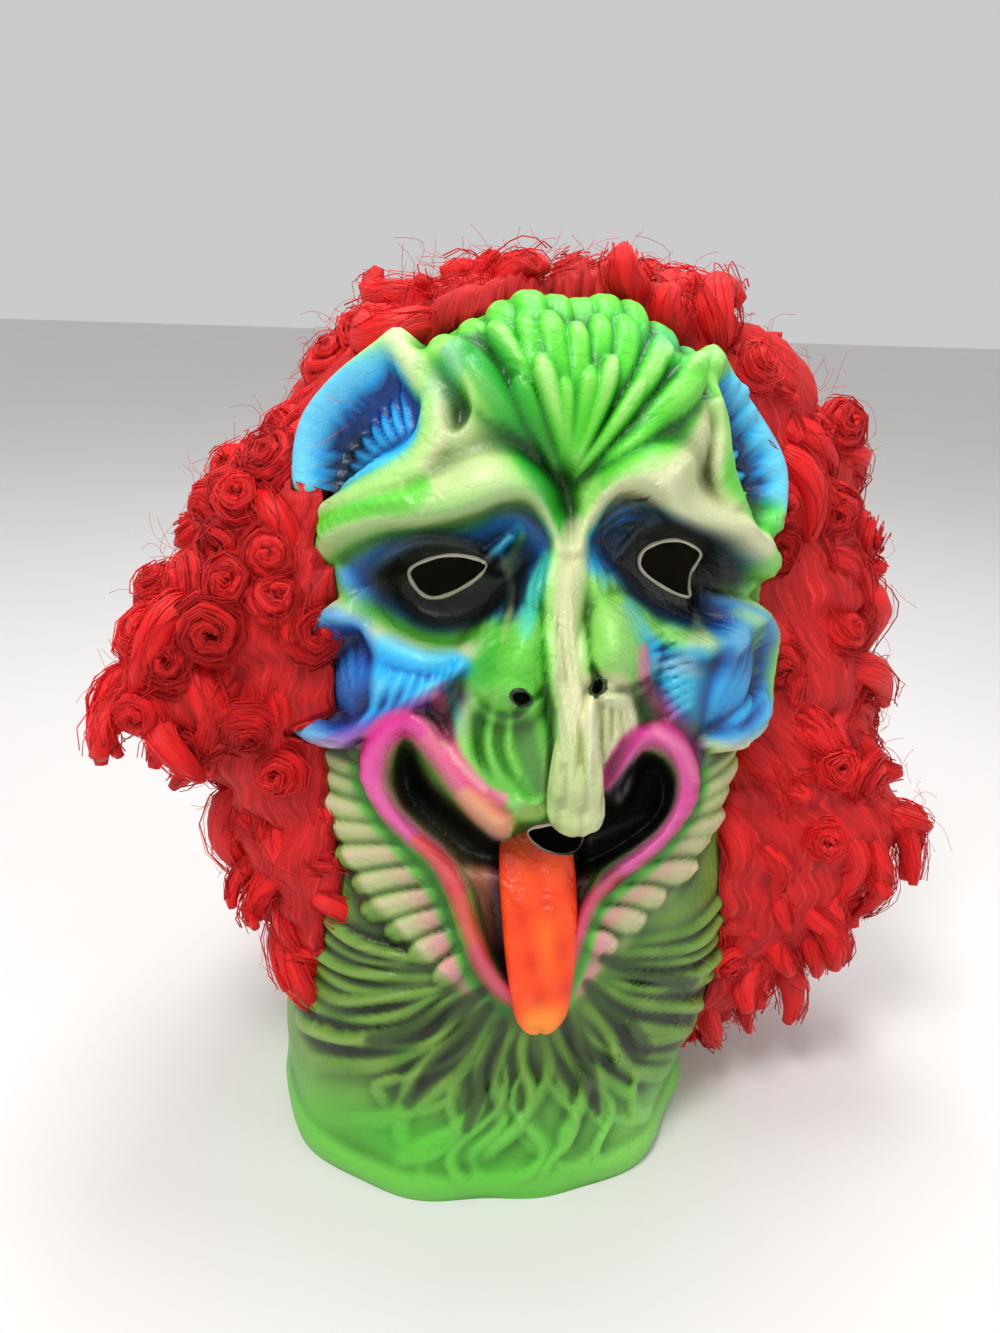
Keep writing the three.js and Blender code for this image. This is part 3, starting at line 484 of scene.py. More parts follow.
class Carver:
    """Raises the forms of the carving over a chart, one after the other."""

    def __init__(self, chart):
        self.chart = chart
        self.height = np.zeros(len(chart.u))

    def mound(self, u, w, wide, high, rise):
        self.height += rise * self.chart.mound(u, w, wide, high)

    def ball(self, u, w, wide, high, rise):
        chart = self.chart
        far = ((chart.u - u) * chart.narrow / wide) ** 2 + ((chart.w - w) / high) ** 2
        self.height += rise * np.clip(1 - far, 0, 1) ** 1.2

    def ridge(self, *rows):
        chosen, x, high = self.chart.ridge(rows)
        self.height[chosen] += (1 - x**2) ** 2 * high

    def blend(self, *rows):
        chosen, x, high = self.chart.ridge(rows)
        share = (1 - x**2) ** 0.9
        self.height[chosen] = self.height[chosen] * (1 - share) + share * high

    def field(self, soft, rise, *outline):
        self.height += rise * self.chart.area(outline, soft)

    def ribs(self, count, widths, heights, shape, *guides, strength=1):
        self.height += self.chart.ribs(guides, count, widths, heights, *shape) * strength

    def tendrils(self, *form):
        u, w = self.chart.u, self.chart.w
        broken = np.sin(u * 0.085 + 2.2 * np.sin(w * 0.06))
        broken = broken * np.sin(w * 0.1 + 2.2 * np.sin(u * 0.05))
        self.ribs(*form, strength=np.clip(0.95 + 0.5 * broken, 0.4, 1.35))

    def ground(self):
        self.base = self.height.copy()

    def lobe(self, rows, lift, slant=0.0):
        """A rounded lobe on the ground, under what is higher; slanted, it laps over the next."""
        path = spline(rows, 6)
        chosen, away, side, columns = self.chart.near(path, path[:, 2].max() * 1.02)
        wide, high = columns.T
        x = share_across(away, wide)
        full = (1 - x**2) ** LOBE_ROUND * (high + lift * smooth(0, 3, high))
        full = full - LOBE_CREASE * high * np.exp(-((x / 0.25) ** 2))
        full = np.where(x < 1, full * (1 + slant * side * x - slant**2), UNDER)
        self.height[chosen] = np.maximum(self.height[chosen], self.base[chosen] + full)

    def roll(self, *rows):
        self.ground()
        self.lobe(rows, 0)

    def lobes(self, *rows):
        for u0, w0, u1, w1, wide, high in rows:
            self.lobe(leaf(u0, w0, u1, w1, wide, high), 0, LAP if u0 > 0 else -LAP)

    def row(self, start, wide, high, lift, *tips):
        for k, (u1, w1) in enumerate(tips):
            u0, w0 = HUB[0] + (u1 - HUB[0]) * start * 0.7, HUB[1] + (w1 - HUB[1]) * start
            wider = wide * (1 + 0.12 * math.sin(2.3 * k + 4 * start))
            line = leaf(u0, w0, u1, w1, wider, high)
            self.lobe(line, lift + math.sin(1.7 * k + 9 * start))

    def nose(self):
        w = self.chart.w
        x = np.clip(np.abs(self.chart.u / knots(w, NOSE_WIDTH)), 0, 1)
        self.height += knots(w, NOSE_BODY) * (1 - x**2) ** 2 * (w < NOSE_BODY[-1][0])

    def crest(self):
        w = self.chart.w
        x = np.clip(np.abs(self.chart.u / CREST_WIDE), 0, 1)
        rise = CREST_HIGH * (1 - x**2) ** 2 * smooth(338, 368, w)
        self.height += rise * (1 - smooth(396, 420, w))

    def neck(self):
        w = self.chart.w
        low = 1 - smooth(96, 140, w - 0.25 * np.abs(self.chart.u))
        self.height += NECK_THICKER * low * smooth(20, 60, w)


def carve(chart):
    """The height of the carving over the plain head, in millimetres."""
    carver = Carver(chart)
    follow(carver, CARVING)
    hem = 1.2 * np.sin(chart.u * 0.11 + 1.0) * (1 - smooth(10, 46, chart.w))
    return (carver.height + hem) * (1 - smooth(140, 165, np.abs(chart.u)))


EYE_LEFT = (
    (-40, 296), (-45, 299), (-57, 300), (-70, 295), (-79, 288), (-73, 281), (-64, 278),
    (-50, 284), (-43, 290),
)

EYE_RIGHT = (
    (38, 299), (42, 305), (56, 307), (69, 301), (81, 293), (82, 282), (75, 276), (57, 281),
    (41, 291),
)
NOSTRIL_LEFT = [(-13, 240), (-19, 245), (-26, 243), (-21, 237)]
NOSTRIL_RIGHT = [(15, 243), (19, 249), (25, 246), (20, 240)]
MOUTH = [(-14, 186), (-9, 179), (-1, 175), (8, 174), (13, 176), (15, 183), (7, 188), (-5, 189)]


# Mesh making

def make_object(name, points, faces, material, colours=None, fibre=None):
    """A mesh of triangles or quads, in metres, painted in one colour or point by point."""
    mesh = bpy.data.meshes.new(name)
    faces = np.asarray(faces, np.int32)
    mesh.vertices.add(len(points))
    mesh.vertices.foreach_set("co", np.asarray(points, np.float32).ravel())
    mesh.loops.add(faces.size)
    mesh.loops.foreach_set("vertex_index", faces.ravel())
    mesh.polygons.add(len(faces))
    starts = np.arange(0, faces.size, faces.shape[1], dtype=np.int32)
    mesh.polygons.foreach_set("loop_start", starts)
    mesh.update(calc_edges=True)
    if colours is not None:
        layer = mesh.attributes.new("Paint", "FLOAT_COLOR", "POINT")
        solid = np.ones((len(points), 4), np.float32)
        solid[:, :3] = colours
        layer.data.foreach_set("color", solid.ravel())
    if fibre is not None:
        layer = mesh.uv_layers.new(name="Fibre")
        layer.data.foreach_set("uv", np.asarray(fibre, np.float32)[faces.ravel()].ravel())
    mesh.materials.append(material)
    mesh.shade_smooth()
    piece = bpy.data.objects.new(name, mesh)
    bpy.context.scene.collection.objects.link(piece)
    return piece


def split(quads):
    """Triangles of quads."""
    return np.concatenate([quads[:, [0, 1, 2]], quads[:, [0, 2, 3]]])


def ring_quads(rows, columns):
    """Quads between rings of points, facing out when the rings go up and run anticlockwise."""
    i, j = np.meshgrid(np.arange(rows - 1), np.arange(columns), indexing="ij")
    a = (i * columns + j).ravel()
    b = (i * columns + (j + 1) % columns).ravel()
    return np.column_stack([a, b, b + columns, a + columns])


def fan(centre, ring):
    """Triangles between a point and a ring of points."""
    return np.column_stack([np.full(len(ring), centre), ring, np.roll(ring, -1)])


def tube(rings):
    """A closed tube through an array of rings: points and triangles."""
    count, sides = rings.shape[:2]
    points = np.vstack([rings.reshape(-1, 3), rings[0].mean(0), rings[-1].mean(0)])
    first = np.arange(sides)
    last = first + (count - 1) * sides
    return points, np.concatenate([
        split(ring_quads(count, sides)),
        fan(len(points) - 2, first)[:, [0, 2, 1]], fan(len(points) - 1, last),
    ])


def outward(points, faces):
    """The faces, turned so that the closed mesh faces out."""
    a, b, c = (points[faces[:, k]] for k in range(3))
    return faces if np.einsum("ij,ij->", a, np.cross(b, c)) > 0 else faces[:, ::-1]


# The cut edge of a hole: how often it is smoothed, and how far the cutter reaches in and out
CUT_SMOOTHING = 14
CUT_REACH = (-0.022, 0.05)
# The rim, in metres: its half thickness, how uneven that is, and how far it sits in and out
RIM_SIDES = 8
RIM_THICK, RIM_UNEVEN = 0.0009, 0.0001
RIM_INWARD, RIM_OUTWARD = 0.0004, 0.0001


def hole(outline, material, colour):
    """A cutter through the wall inside an outline, and the thin rolled rim of the cut."""
    line = spline(outline, 8, True)[:-1]
    u, w = line.T
    edge = carved(u, w, carve(Chart(u, w)))
    for _ in range(CUT_SMOOTHING):
        edge = 0.5 * edge + 0.25 * (np.roll(edge, 1, 0) + np.roll(edge, -1, 0))
    way, _ = relief_way(np.array([u.mean()]), np.array([w.mean()]))
    way = unit(way[0], 0)
    points, faces = tube(np.array([edge + way * reach for reach in CUT_REACH]))
    cut = make_object("hole", points, outward(points, faces), material, colour)
    count = len(edge)
    along = unit(np.roll(edge, -1, 0) - np.roll(edge, 1, 0), 0)
    inward = np.cross(along, way)
    inward *= np.sign((inward * (edge.mean(0) - edge)).sum(1))[:, None]
    turn = np.linspace(0, 2 * math.pi, RIM_SIDES, endpoint=False)[:, None]
    thick = RIM_THICK + RIM_UNEVEN * np.sin(np.arange(count) * 0.9)[:, None, None]
    centre = edge + inward * RIM_INWARD + way * RIM_OUTWARD
    rings = centre[:, None] + thick * (np.cos(turn) * inward[:, None] + np.sin(turn) * way)
    points = rings.reshape(-1, 3)
    faces = split(ring_quads(count + 1, RIM_SIDES) % len(points))
    return cut, make_object("rim", points, outward(points, faces), material, colour)


def combine(piece, tool, operation):
    """Joins or cuts the piece with the tool, and removes the tool."""
    change = piece.modifiers.new("change", "BOOLEAN")
    change.operation = operation
    change.solver = "MANIFOLD"
    change.object = tool
    change.material_mode = "TRANSFER"
    bpy.context.view_layer.update()
    graph = bpy.context.evaluated_depsgraph_get()
    made = bpy.data.meshes.new_from_object(piece.evaluated_get(graph))
    old = piece.data
    piece.modifiers.clear()
    piece.data = made
    made.name = piece.name
    bpy.data.meshes.remove(old)
    bpy.data.objects.remove(tool)


MEND_ROUNDS = 6


def mend_paint(mesh):
    """Gives the points along joins and cuts, which have no colour, that of their neighbours."""
    colour = np.empty(len(mesh.vertices) * 4, np.float32)
    mesh.attributes["Paint"].data.foreach_get("color", colour)
    colour = colour.reshape(-1, 4)
    ends = np.empty(len(mesh.edges) * 2, np.int32)
    mesh.edges.foreach_get("vertices", ends)
    ends = ends.reshape(-1, 2)
    white, black = colour[:, :3].min(1) > 0.98, colour[:, :3].max(1) < 0.0001
    blank = white | black | (np.abs(colour[:, 3] - 1) > 0.01)
    for _ in range(MEND_ROUNDS):
        total, count = np.zeros_like(colour), np.zeros(len(colour))
        for a, b in ((0, 1), (1, 0)):
            good = ~blank[ends[:, b]]
            np.add.at(total, ends[good, a], colour[ends[good, b]])
            np.add.at(count, ends[good, a], 1)
        mended = blank & (count > 0)
        colour[mended] = total[mended] / count[mended][:, None]
        blank &= ~mended
    mesh.attributes["Paint"].data.foreach_set("color", colour.ravel())


# Shader making

class Wire:
    """A socket that number maths can be done on."""

    def __init__(self, look, socket):
        self.look = look
        self.socket = socket

    def __add__(self, other):
        return self.look.maths("ADD", self, other)

    def __mul__(self, other):
        return self.look.maths("MULTIPLY", self, other)

    def __sub__(self, other):
        return self.look.maths("SUBTRACT", self, other)

    def __rsub__(self, other):
        return self.look.maths("SUBTRACT", other, self)

    __radd__ = __add__
    __rmul__ = __mul__


class Look:
    """A material of a principled shader and the nodes that feed it."""

    def __init__(self, name, **constants):
        self.material = bpy.data.materials.new(name)
        self.material.use_nodes = True
        self.tree = self.material.node_tree
        self.shader = self.tree.nodes["Principled BSDF"]
        for socket, value in constants.items():
            self.set(socket.replace("_", " "), value)

    def node(self, kind, settings=None, **values):
        """Adds a node: its settings, then its sockets by name or as i and their number."""
        node = self.tree.nodes.new("ShaderNode" + kind)
        for key, value in (settings or {}).items():
            setattr(node, key, value)
        for key, value in values.items():
            numbered = key[0] == "i" and key[1:].isdigit()
            self.feed(node.inputs[int(key[1:]) if numbered else key.replace("_", " ")], value)
        return node

    def feed(self, socket, value):
        """Gives a socket a number or a wire."""
        if isinstance(value, Wire):
            self.tree.links.new(value.socket, socket)
        else:
            socket.default_value = value

    def set(self, socket, value):
        self.feed(self.shader.inputs[socket], value)

    def out(self, node, name=0):
        return Wire(self, node.outputs[name])

    def here(self):
        """The place on the object."""
        return self.out(self.node("TexCoord"), "Object")

    def maths(self, operation, a, b):
        return self.out(self.node("Math", {"operation": operation}, i0=a, i1=b))

    def noise(self, scale, detail, at, **more):
        node = self.node("TexNoise", None, Scale=scale, Detail=detail, Vector=at, **more)
        return self.out(node, "Fac")

    def ramp(self, value, low, high):
        """0 below low, 1 above high."""
        soft = {"interpolation_type": "SMOOTHSTEP"}
        return self.out(self.node("MapRange", soft, Value=value, From_Min=low, From_Max=high))

    def mix(self, share, a, b, blend="MIX"):
        settings = {"data_type": "RGBA", "blend_type": blend}
        return self.out(self.node("Mix", settings, i0=share, i6=a, i7=b), 2)

    def tint(self, share, colour, tone):
        """A share of the colour multiplied by a tone."""
        return self.mix(share, colour, self.mix(1.0, colour, (*tone, 1), "MULTIPLY"))

    def bump(self, height, distance, strength):
        node = self.node("Bump", None, Strength=strength, Distance=distance, Height=height)
        self.set("Normal", self.out(node, "Normal"))


def linear(colour):
    """From colours as they are seen to amounts of light."""
    c = np.asarray(colour, float)
    return np.where(c <= 0.04045, c / 12.92, ((c + 0.055) / 1.055) ** 2.4)


def rgba(colour):
    return (*[float(v) for v in linear(colour)], 1.0)


def darker(colour, share):
    return [c * share for c in colour]


def painted_latex():
    """Airbrush paint on latex: mottled, specked and finely wrinkled."""
    look = Look("Painted latex", Roughness=0.4, IOR=1.45, Coat_Weight=0.08, Coat_Roughness=0.25)
    here = look.here()
    paint = look.out(look.node("Attribute", {"attribute_name": "Paint"}), "Color")
    mottle = look.noise(60.0, 5.0, here, Roughness=0.6)
    speck = look.noise(900.0, 2.0, here)
    shaded = look.tint(0.22 * look.ramp(mottle, 0.35, 0.7), paint, (1.12, 1.1, 1.04))
    spotted = look.tint(0.25 * look.ramp(speck, 0.62, 0.72), shaded, (0.7, 0.72, 0.68))
    look.set("Base Color", spotted)
    look.set("Roughness", 0.34 + 0.16 * mottle + 0.06 * speck)
    cells = look.node("TexVoronoi", {"feature": "DISTANCE_TO_EDGE"}, Vector=here, Scale=230.0)
    crease = look.ramp(look.out(cells, "Distance"), 0.0, 0.12)
    bands = {"wave_type": "BANDS", "bands_direction": "DIAGONAL"}
    wave = look.node(
        "TexWave", bands, Vector=here, Scale=62.0, Distortion=9.0, Detail=3.0, Detail_Scale=1.6,
    )
    wrinkle = look.out(wave, "Fac") * look.ramp(look.noise(24.0, 2.0, here), 0.35, 0.6)
    grain = 0.4 * look.noise(420.0, 4.0, here)
    look.bump(grain + 0.25 * crease + 0.9 * wrinkle, 0.0005, 0.6)
    return look.material


def raw_latex(colour):
    """Unpainted latex, a little cloudy."""
    look = Look("Raw latex", Roughness=0.6)
    here = look.here()
    cloud = look.noise(45.0, 4.0, here)
    look.set("Base Color", look.mix(cloud, rgba(colour), rgba(darker(colour, 0.86))))
    look.set("Roughness", 0.5 + 0.2 * cloud)
    look.bump(look.noise(500.0, 3.0, here), 0.0004, 0.4)
    return look.material


def hair_look(name, colour, shade_colour, roughness):
    """Glossy synthetic hair, streaked along its fibres, with painted shade between the strands and
    painted glints.
    """
    look = Look(name, Specular_IOR_Level=0.35, Sheen_Weight=0.12, Sheen_Roughness=0.5)
    look.set("Sheen Tint", (1.0, 0.2, 0.2, 1))
    along = look.out(look.node("UVMap", {"uv_map": "Fibre"}), "UV")
    stretched = look.out(look.node("Mapping", None, Vector=along, Scale=(0.8, 16.0, 1.0)))
    fine = look.out(look.node("Mapping", None, Vector=along, Scale=(2.0, 60.0, 1.0)))
    strands = look.noise(1.0, 4.0, stretched, Roughness=0.7)
    hairs = look.noise(1.0, 2.0, fine)
    both = 0.6 * strands + 0.4 * hairs
    tone = look.mix(look.ramp(both, 0.3, 0.6), rgba(shade_colour), rgba(colour))
    glint = look.ramp(hairs, 0.56, 0.75) * 0.3
    look.set("Base Color", look.mix(glint, tone, (1.0, 0.1, 0.08, 1)))
    look.set("Roughness", roughness + 0.3 * (1.0 - strands))
    look.bump(both, 0.0013, 0.8)
    return look.material


# Settings

def colour_setting(name, words, value):
    return bpy.props.FloatVectorProperty(
        name=name, description=words, subtype="COLOR_GAMMA", size=3, min=0, max=1,
        default=[round(v / 255, 4) for v in value],
    )


def length_setting(name, words, value):
    return bpy.props.FloatProperty(
        name=name, description=words, subtype="DISTANCE", unit="LENGTH", min=0, default=value,
    )


def number_setting(name, words, value):
    return bpy.props.IntProperty(name=name, description=words, default=value, min=0)


class MaskPaint(bpy.types.PropertyGroup):
    """Airbrush colours of the latex."""

    lime: colour_setting("Lime", "Main green of the face", (100, 186, 64))
    bright: colour_setting("Bright green", "Crest and valley of the forehead", (70, 196, 30))
    # Deep green is also laid in the crest's grooves as painted shade
    deep: colour_setting("Deep green", "Bottom of the forehead's valley", (18, 148, 30))
    pale: colour_setting("Pale green", "Highlights of the crest and nose", (160, 222, 112))
    cream: colour_setting("Cream", "Brow plates and nose strip", (214, 208, 166))
    teal: colour_setting("Teal", "Fades between green and blue", (62, 190, 165))
    sky: colour_setting("Sky blue", "Ears and cheeks", (22, 165, 232))
    blue: colour_setting("Deep blue", "Lids and fins", (18, 92, 178))
    black: colour_setting("Black", "Round the eyes and in the mouth's corners", (14, 12, 16))
    maroon: colour_setting("Maroon", "Outer corners of the eyes", (74, 22, 34))
    violet: colour_setting("Violet", "Fades between blue and magenta", (128, 62, 168))
    magenta: colour_setting("Magenta", "Lips", (206, 34, 136))
    pink: colour_setting("Pink", "Lips and petals", (228, 110, 150))
    rose: colour_setting("Pale rose", "Cheek petals", (222, 170, 168))
    peach: colour_setting("Peach", "Upper lip's middle", (226, 148, 100))
    red: colour_setting("Red", "Lower lip", (204, 20, 24))
    # Moss is also laid in the grooves near the hem as painted shade
    moss: colour_setting("Moss", "Upper neck", (76, 120, 34))
    # Painted shade in the gaps between the tendrils
    dark: colour_setting("Dark green", "Gaps between the tendrils", (30, 46, 12))
    orange: colour_setting("Orange", "Tongue", (238, 70, 4))
    amber: colour_setting("Amber", "Tip of the tongue", (250, 150, 40))
    raw: colour_setting("Raw latex", "Cut edges and the inside", (226, 216, 196))


class HairStyle(bpy.types.PropertyGroup):
    """Sizes and colours of the wig."""

    red: colour_setting("Red", "Lit strands", (236, 16, 16))
    # Painted shade in the gaps between the strands
    dark: colour_setting("Dark red", "Gaps between the strands", (196, 8, 12))
    front_gap: length_setting("Front spacing", "Distance between locks beside the face", 0.0168)
    back_gap: length_setting("Back spacing", "Distance between locks at the back", 0.0245)
    thick: length_setting("Lock thickness", "Half thickness of a fat lock", 0.0082)
    thin: length_setting("Curl thickness", "Half thickness of a rolled lock", 0.0034)
    strands: number_setting("Strands", "Number of loose strands round a lock in front", 20)
    flyaways: number_setting("Loose fibres", "Number of loose fibres", 1700)
    seed: number_setting("Seed", "Changes how the locks fall", 7)


class StageSetting(bpy.types.PropertyGroup):
    """Floor, lamps and camera."""

    floor: colour_setting("Floor", "Colour of the floor", (226, 224, 222))
    lamps: bpy.props.FloatProperty(
        name="Lamp strength", description="Strength of all lamps", default=1.0, min=0,
    )
    lens: bpy.props.FloatProperty(
        name="Lens", description="Focal length", subtype="DISTANCE_CAMERA", default=28.0,
    )


# Mask

FACE_COLUMNS = np.concatenate([
    np.linspace(start, end, count, endpoint=False) for start, end, count in (
        (-140, -84, 36), (-84, 84, 152), (84, 140, 36), (140, ROUND - 140, 32),
    )
])
FACE_ROWS = np.concatenate([np.linspace(0, 93, 51, endpoint=False), np.linspace(93, 440.5, 250)])
# The inside has every fourth point; its wall in millimetres, thicker round the chin's u and w
STRIDE = 4
WALL = 2.8
THINNEST = 2.2
CHIN = (8, 134)
CHIN_THICKER = 3


def shifted(grid, rows):
    """The grid moved up or down; its first or last row is repeated behind it."""
    if rows > 0:
        return np.vstack([grid[:1].repeat(rows, 0), grid[:-rows]])
    return np.vstack([grid[-rows:], grid[-1:].repeat(-rows, 0)])


def blur(grid, size):
    """A soft average over a grid that wraps sideways."""
    for axis in (0, 1):
        for _ in range(2 if size > 1 else 1):
            total = grid.copy()
            for k in range(1, size + 1):
                if axis:
                    total += np.roll(grid, k, 1) + np.roll(grid, -k, 1)
                else:
                    total += shifted(grid, k) + shifted(grid, -k)
            grid = total / (2 * size + 1)
    return grid


# Colours that are mixed for single places, beside those of the settings
MIXED = {
    "petal": (0.86, 0.72, 0.64), "petal_end": (0.52, 0.68, 0.28), "petal_gap": (0.3, 0.46, 0.14),
    "neck_smudge": (0.46, 0.6, 0.22), "neck_side": (0.5, 0.66, 0.3),
    "neck_ridge": (0.52, 0.66, 0.3), "tendril_top": (0.72, 0.74, 0.5),
    "fold_shade": (0.2, 0.27, 0.18), "nose_tip": (0.74, 0.8, 0.55),
    "nose_crease": (0.2, 0.36, 0.14), "tip_crease": (0.5, 0.62, 0.36),
    "tip_shade": (0.56, 0.62, 0.42), "nostril": (0.1, 0.2, 0.07), "lip": (0.86, 0.3, 0.5),
    "chin_left": (0.72, 0.07, 0.22), "chin_right": (0.74, 0.1, 0.3), "tan": (0.66, 0.56, 0.42),
    "brown": (0.62, 0.36, 0.26), "grey": (0.45, 0.4, 0.4), "dark_grey": (0.42, 0.37, 0.37),
    "throat": (0.34, 0.08, 0.12), "tongue_red": (0.8, 0.12, 0.0),
    "tongue_side": (0.62, 0.46, 0.36), "tongue_root": (0.55, 0.3, 0.18),
    "light_blue": (0.3, 0.78, 0.96), "dark_blue": (0.04, 0.25, 0.55),
    # hollow is painted shade in the broad hollows, edge a painted highlight on raised edges
    "hollow": (0.05, 0.12, 0.04), "edge": (0.93, 0.97, 0.85),
}


def shade(paint, name):
    """The colour of a name: one of the mixed colours or of the settings."""
    return np.array(MIXED.get(name) or getattr(paint, name), float)


def laid(colour, share, over):
    """The colours with a share of another one laid over them."""
    return colour + (over - colour) * np.clip(share, 0, 1)[:, None]


class Airbrush:
    """Colours of the points of a chart, laid on one over the other."""

    def __init__(self, chart, paint):
        self.chart = chart
        self.paint = paint
        self.colour = np.tile(shade(paint, "lime"), (len(chart.u), 1))

    def lay(self, share, name):
        self.colour = laid(self.colour, share, shade(self.paint, name))

    def area(self, name, strength, soft, *outline):
        self.lay(self.chart.area(outline, soft) * strength, name)

    def stroke(self, name, strength, *rows):
        """A soft line of (u, w, half width)."""
        path = spline([(u, w, wide, wide, 1) for u, w, wide in rows], 8)
        chosen, away, _, columns = self.chart.near(path, path[:, 2].max())
        share = np.zeros(len(self.chart.u))
        share[chosen] = (1 - share_across(away, columns[:, 0]) ** 3) ** 1.2
        self.lay(share * strength, name)

    def spot(self, name, strength, u, w, wide, high):
        self.lay(self.chart.mound(u, w, wide, high) * strength, name)


# A wrinkle of the right lid, painted three times
WRINKLE = ((16, 308, 1.2), (26, 315, 1.4), (38, 316, 1.2))
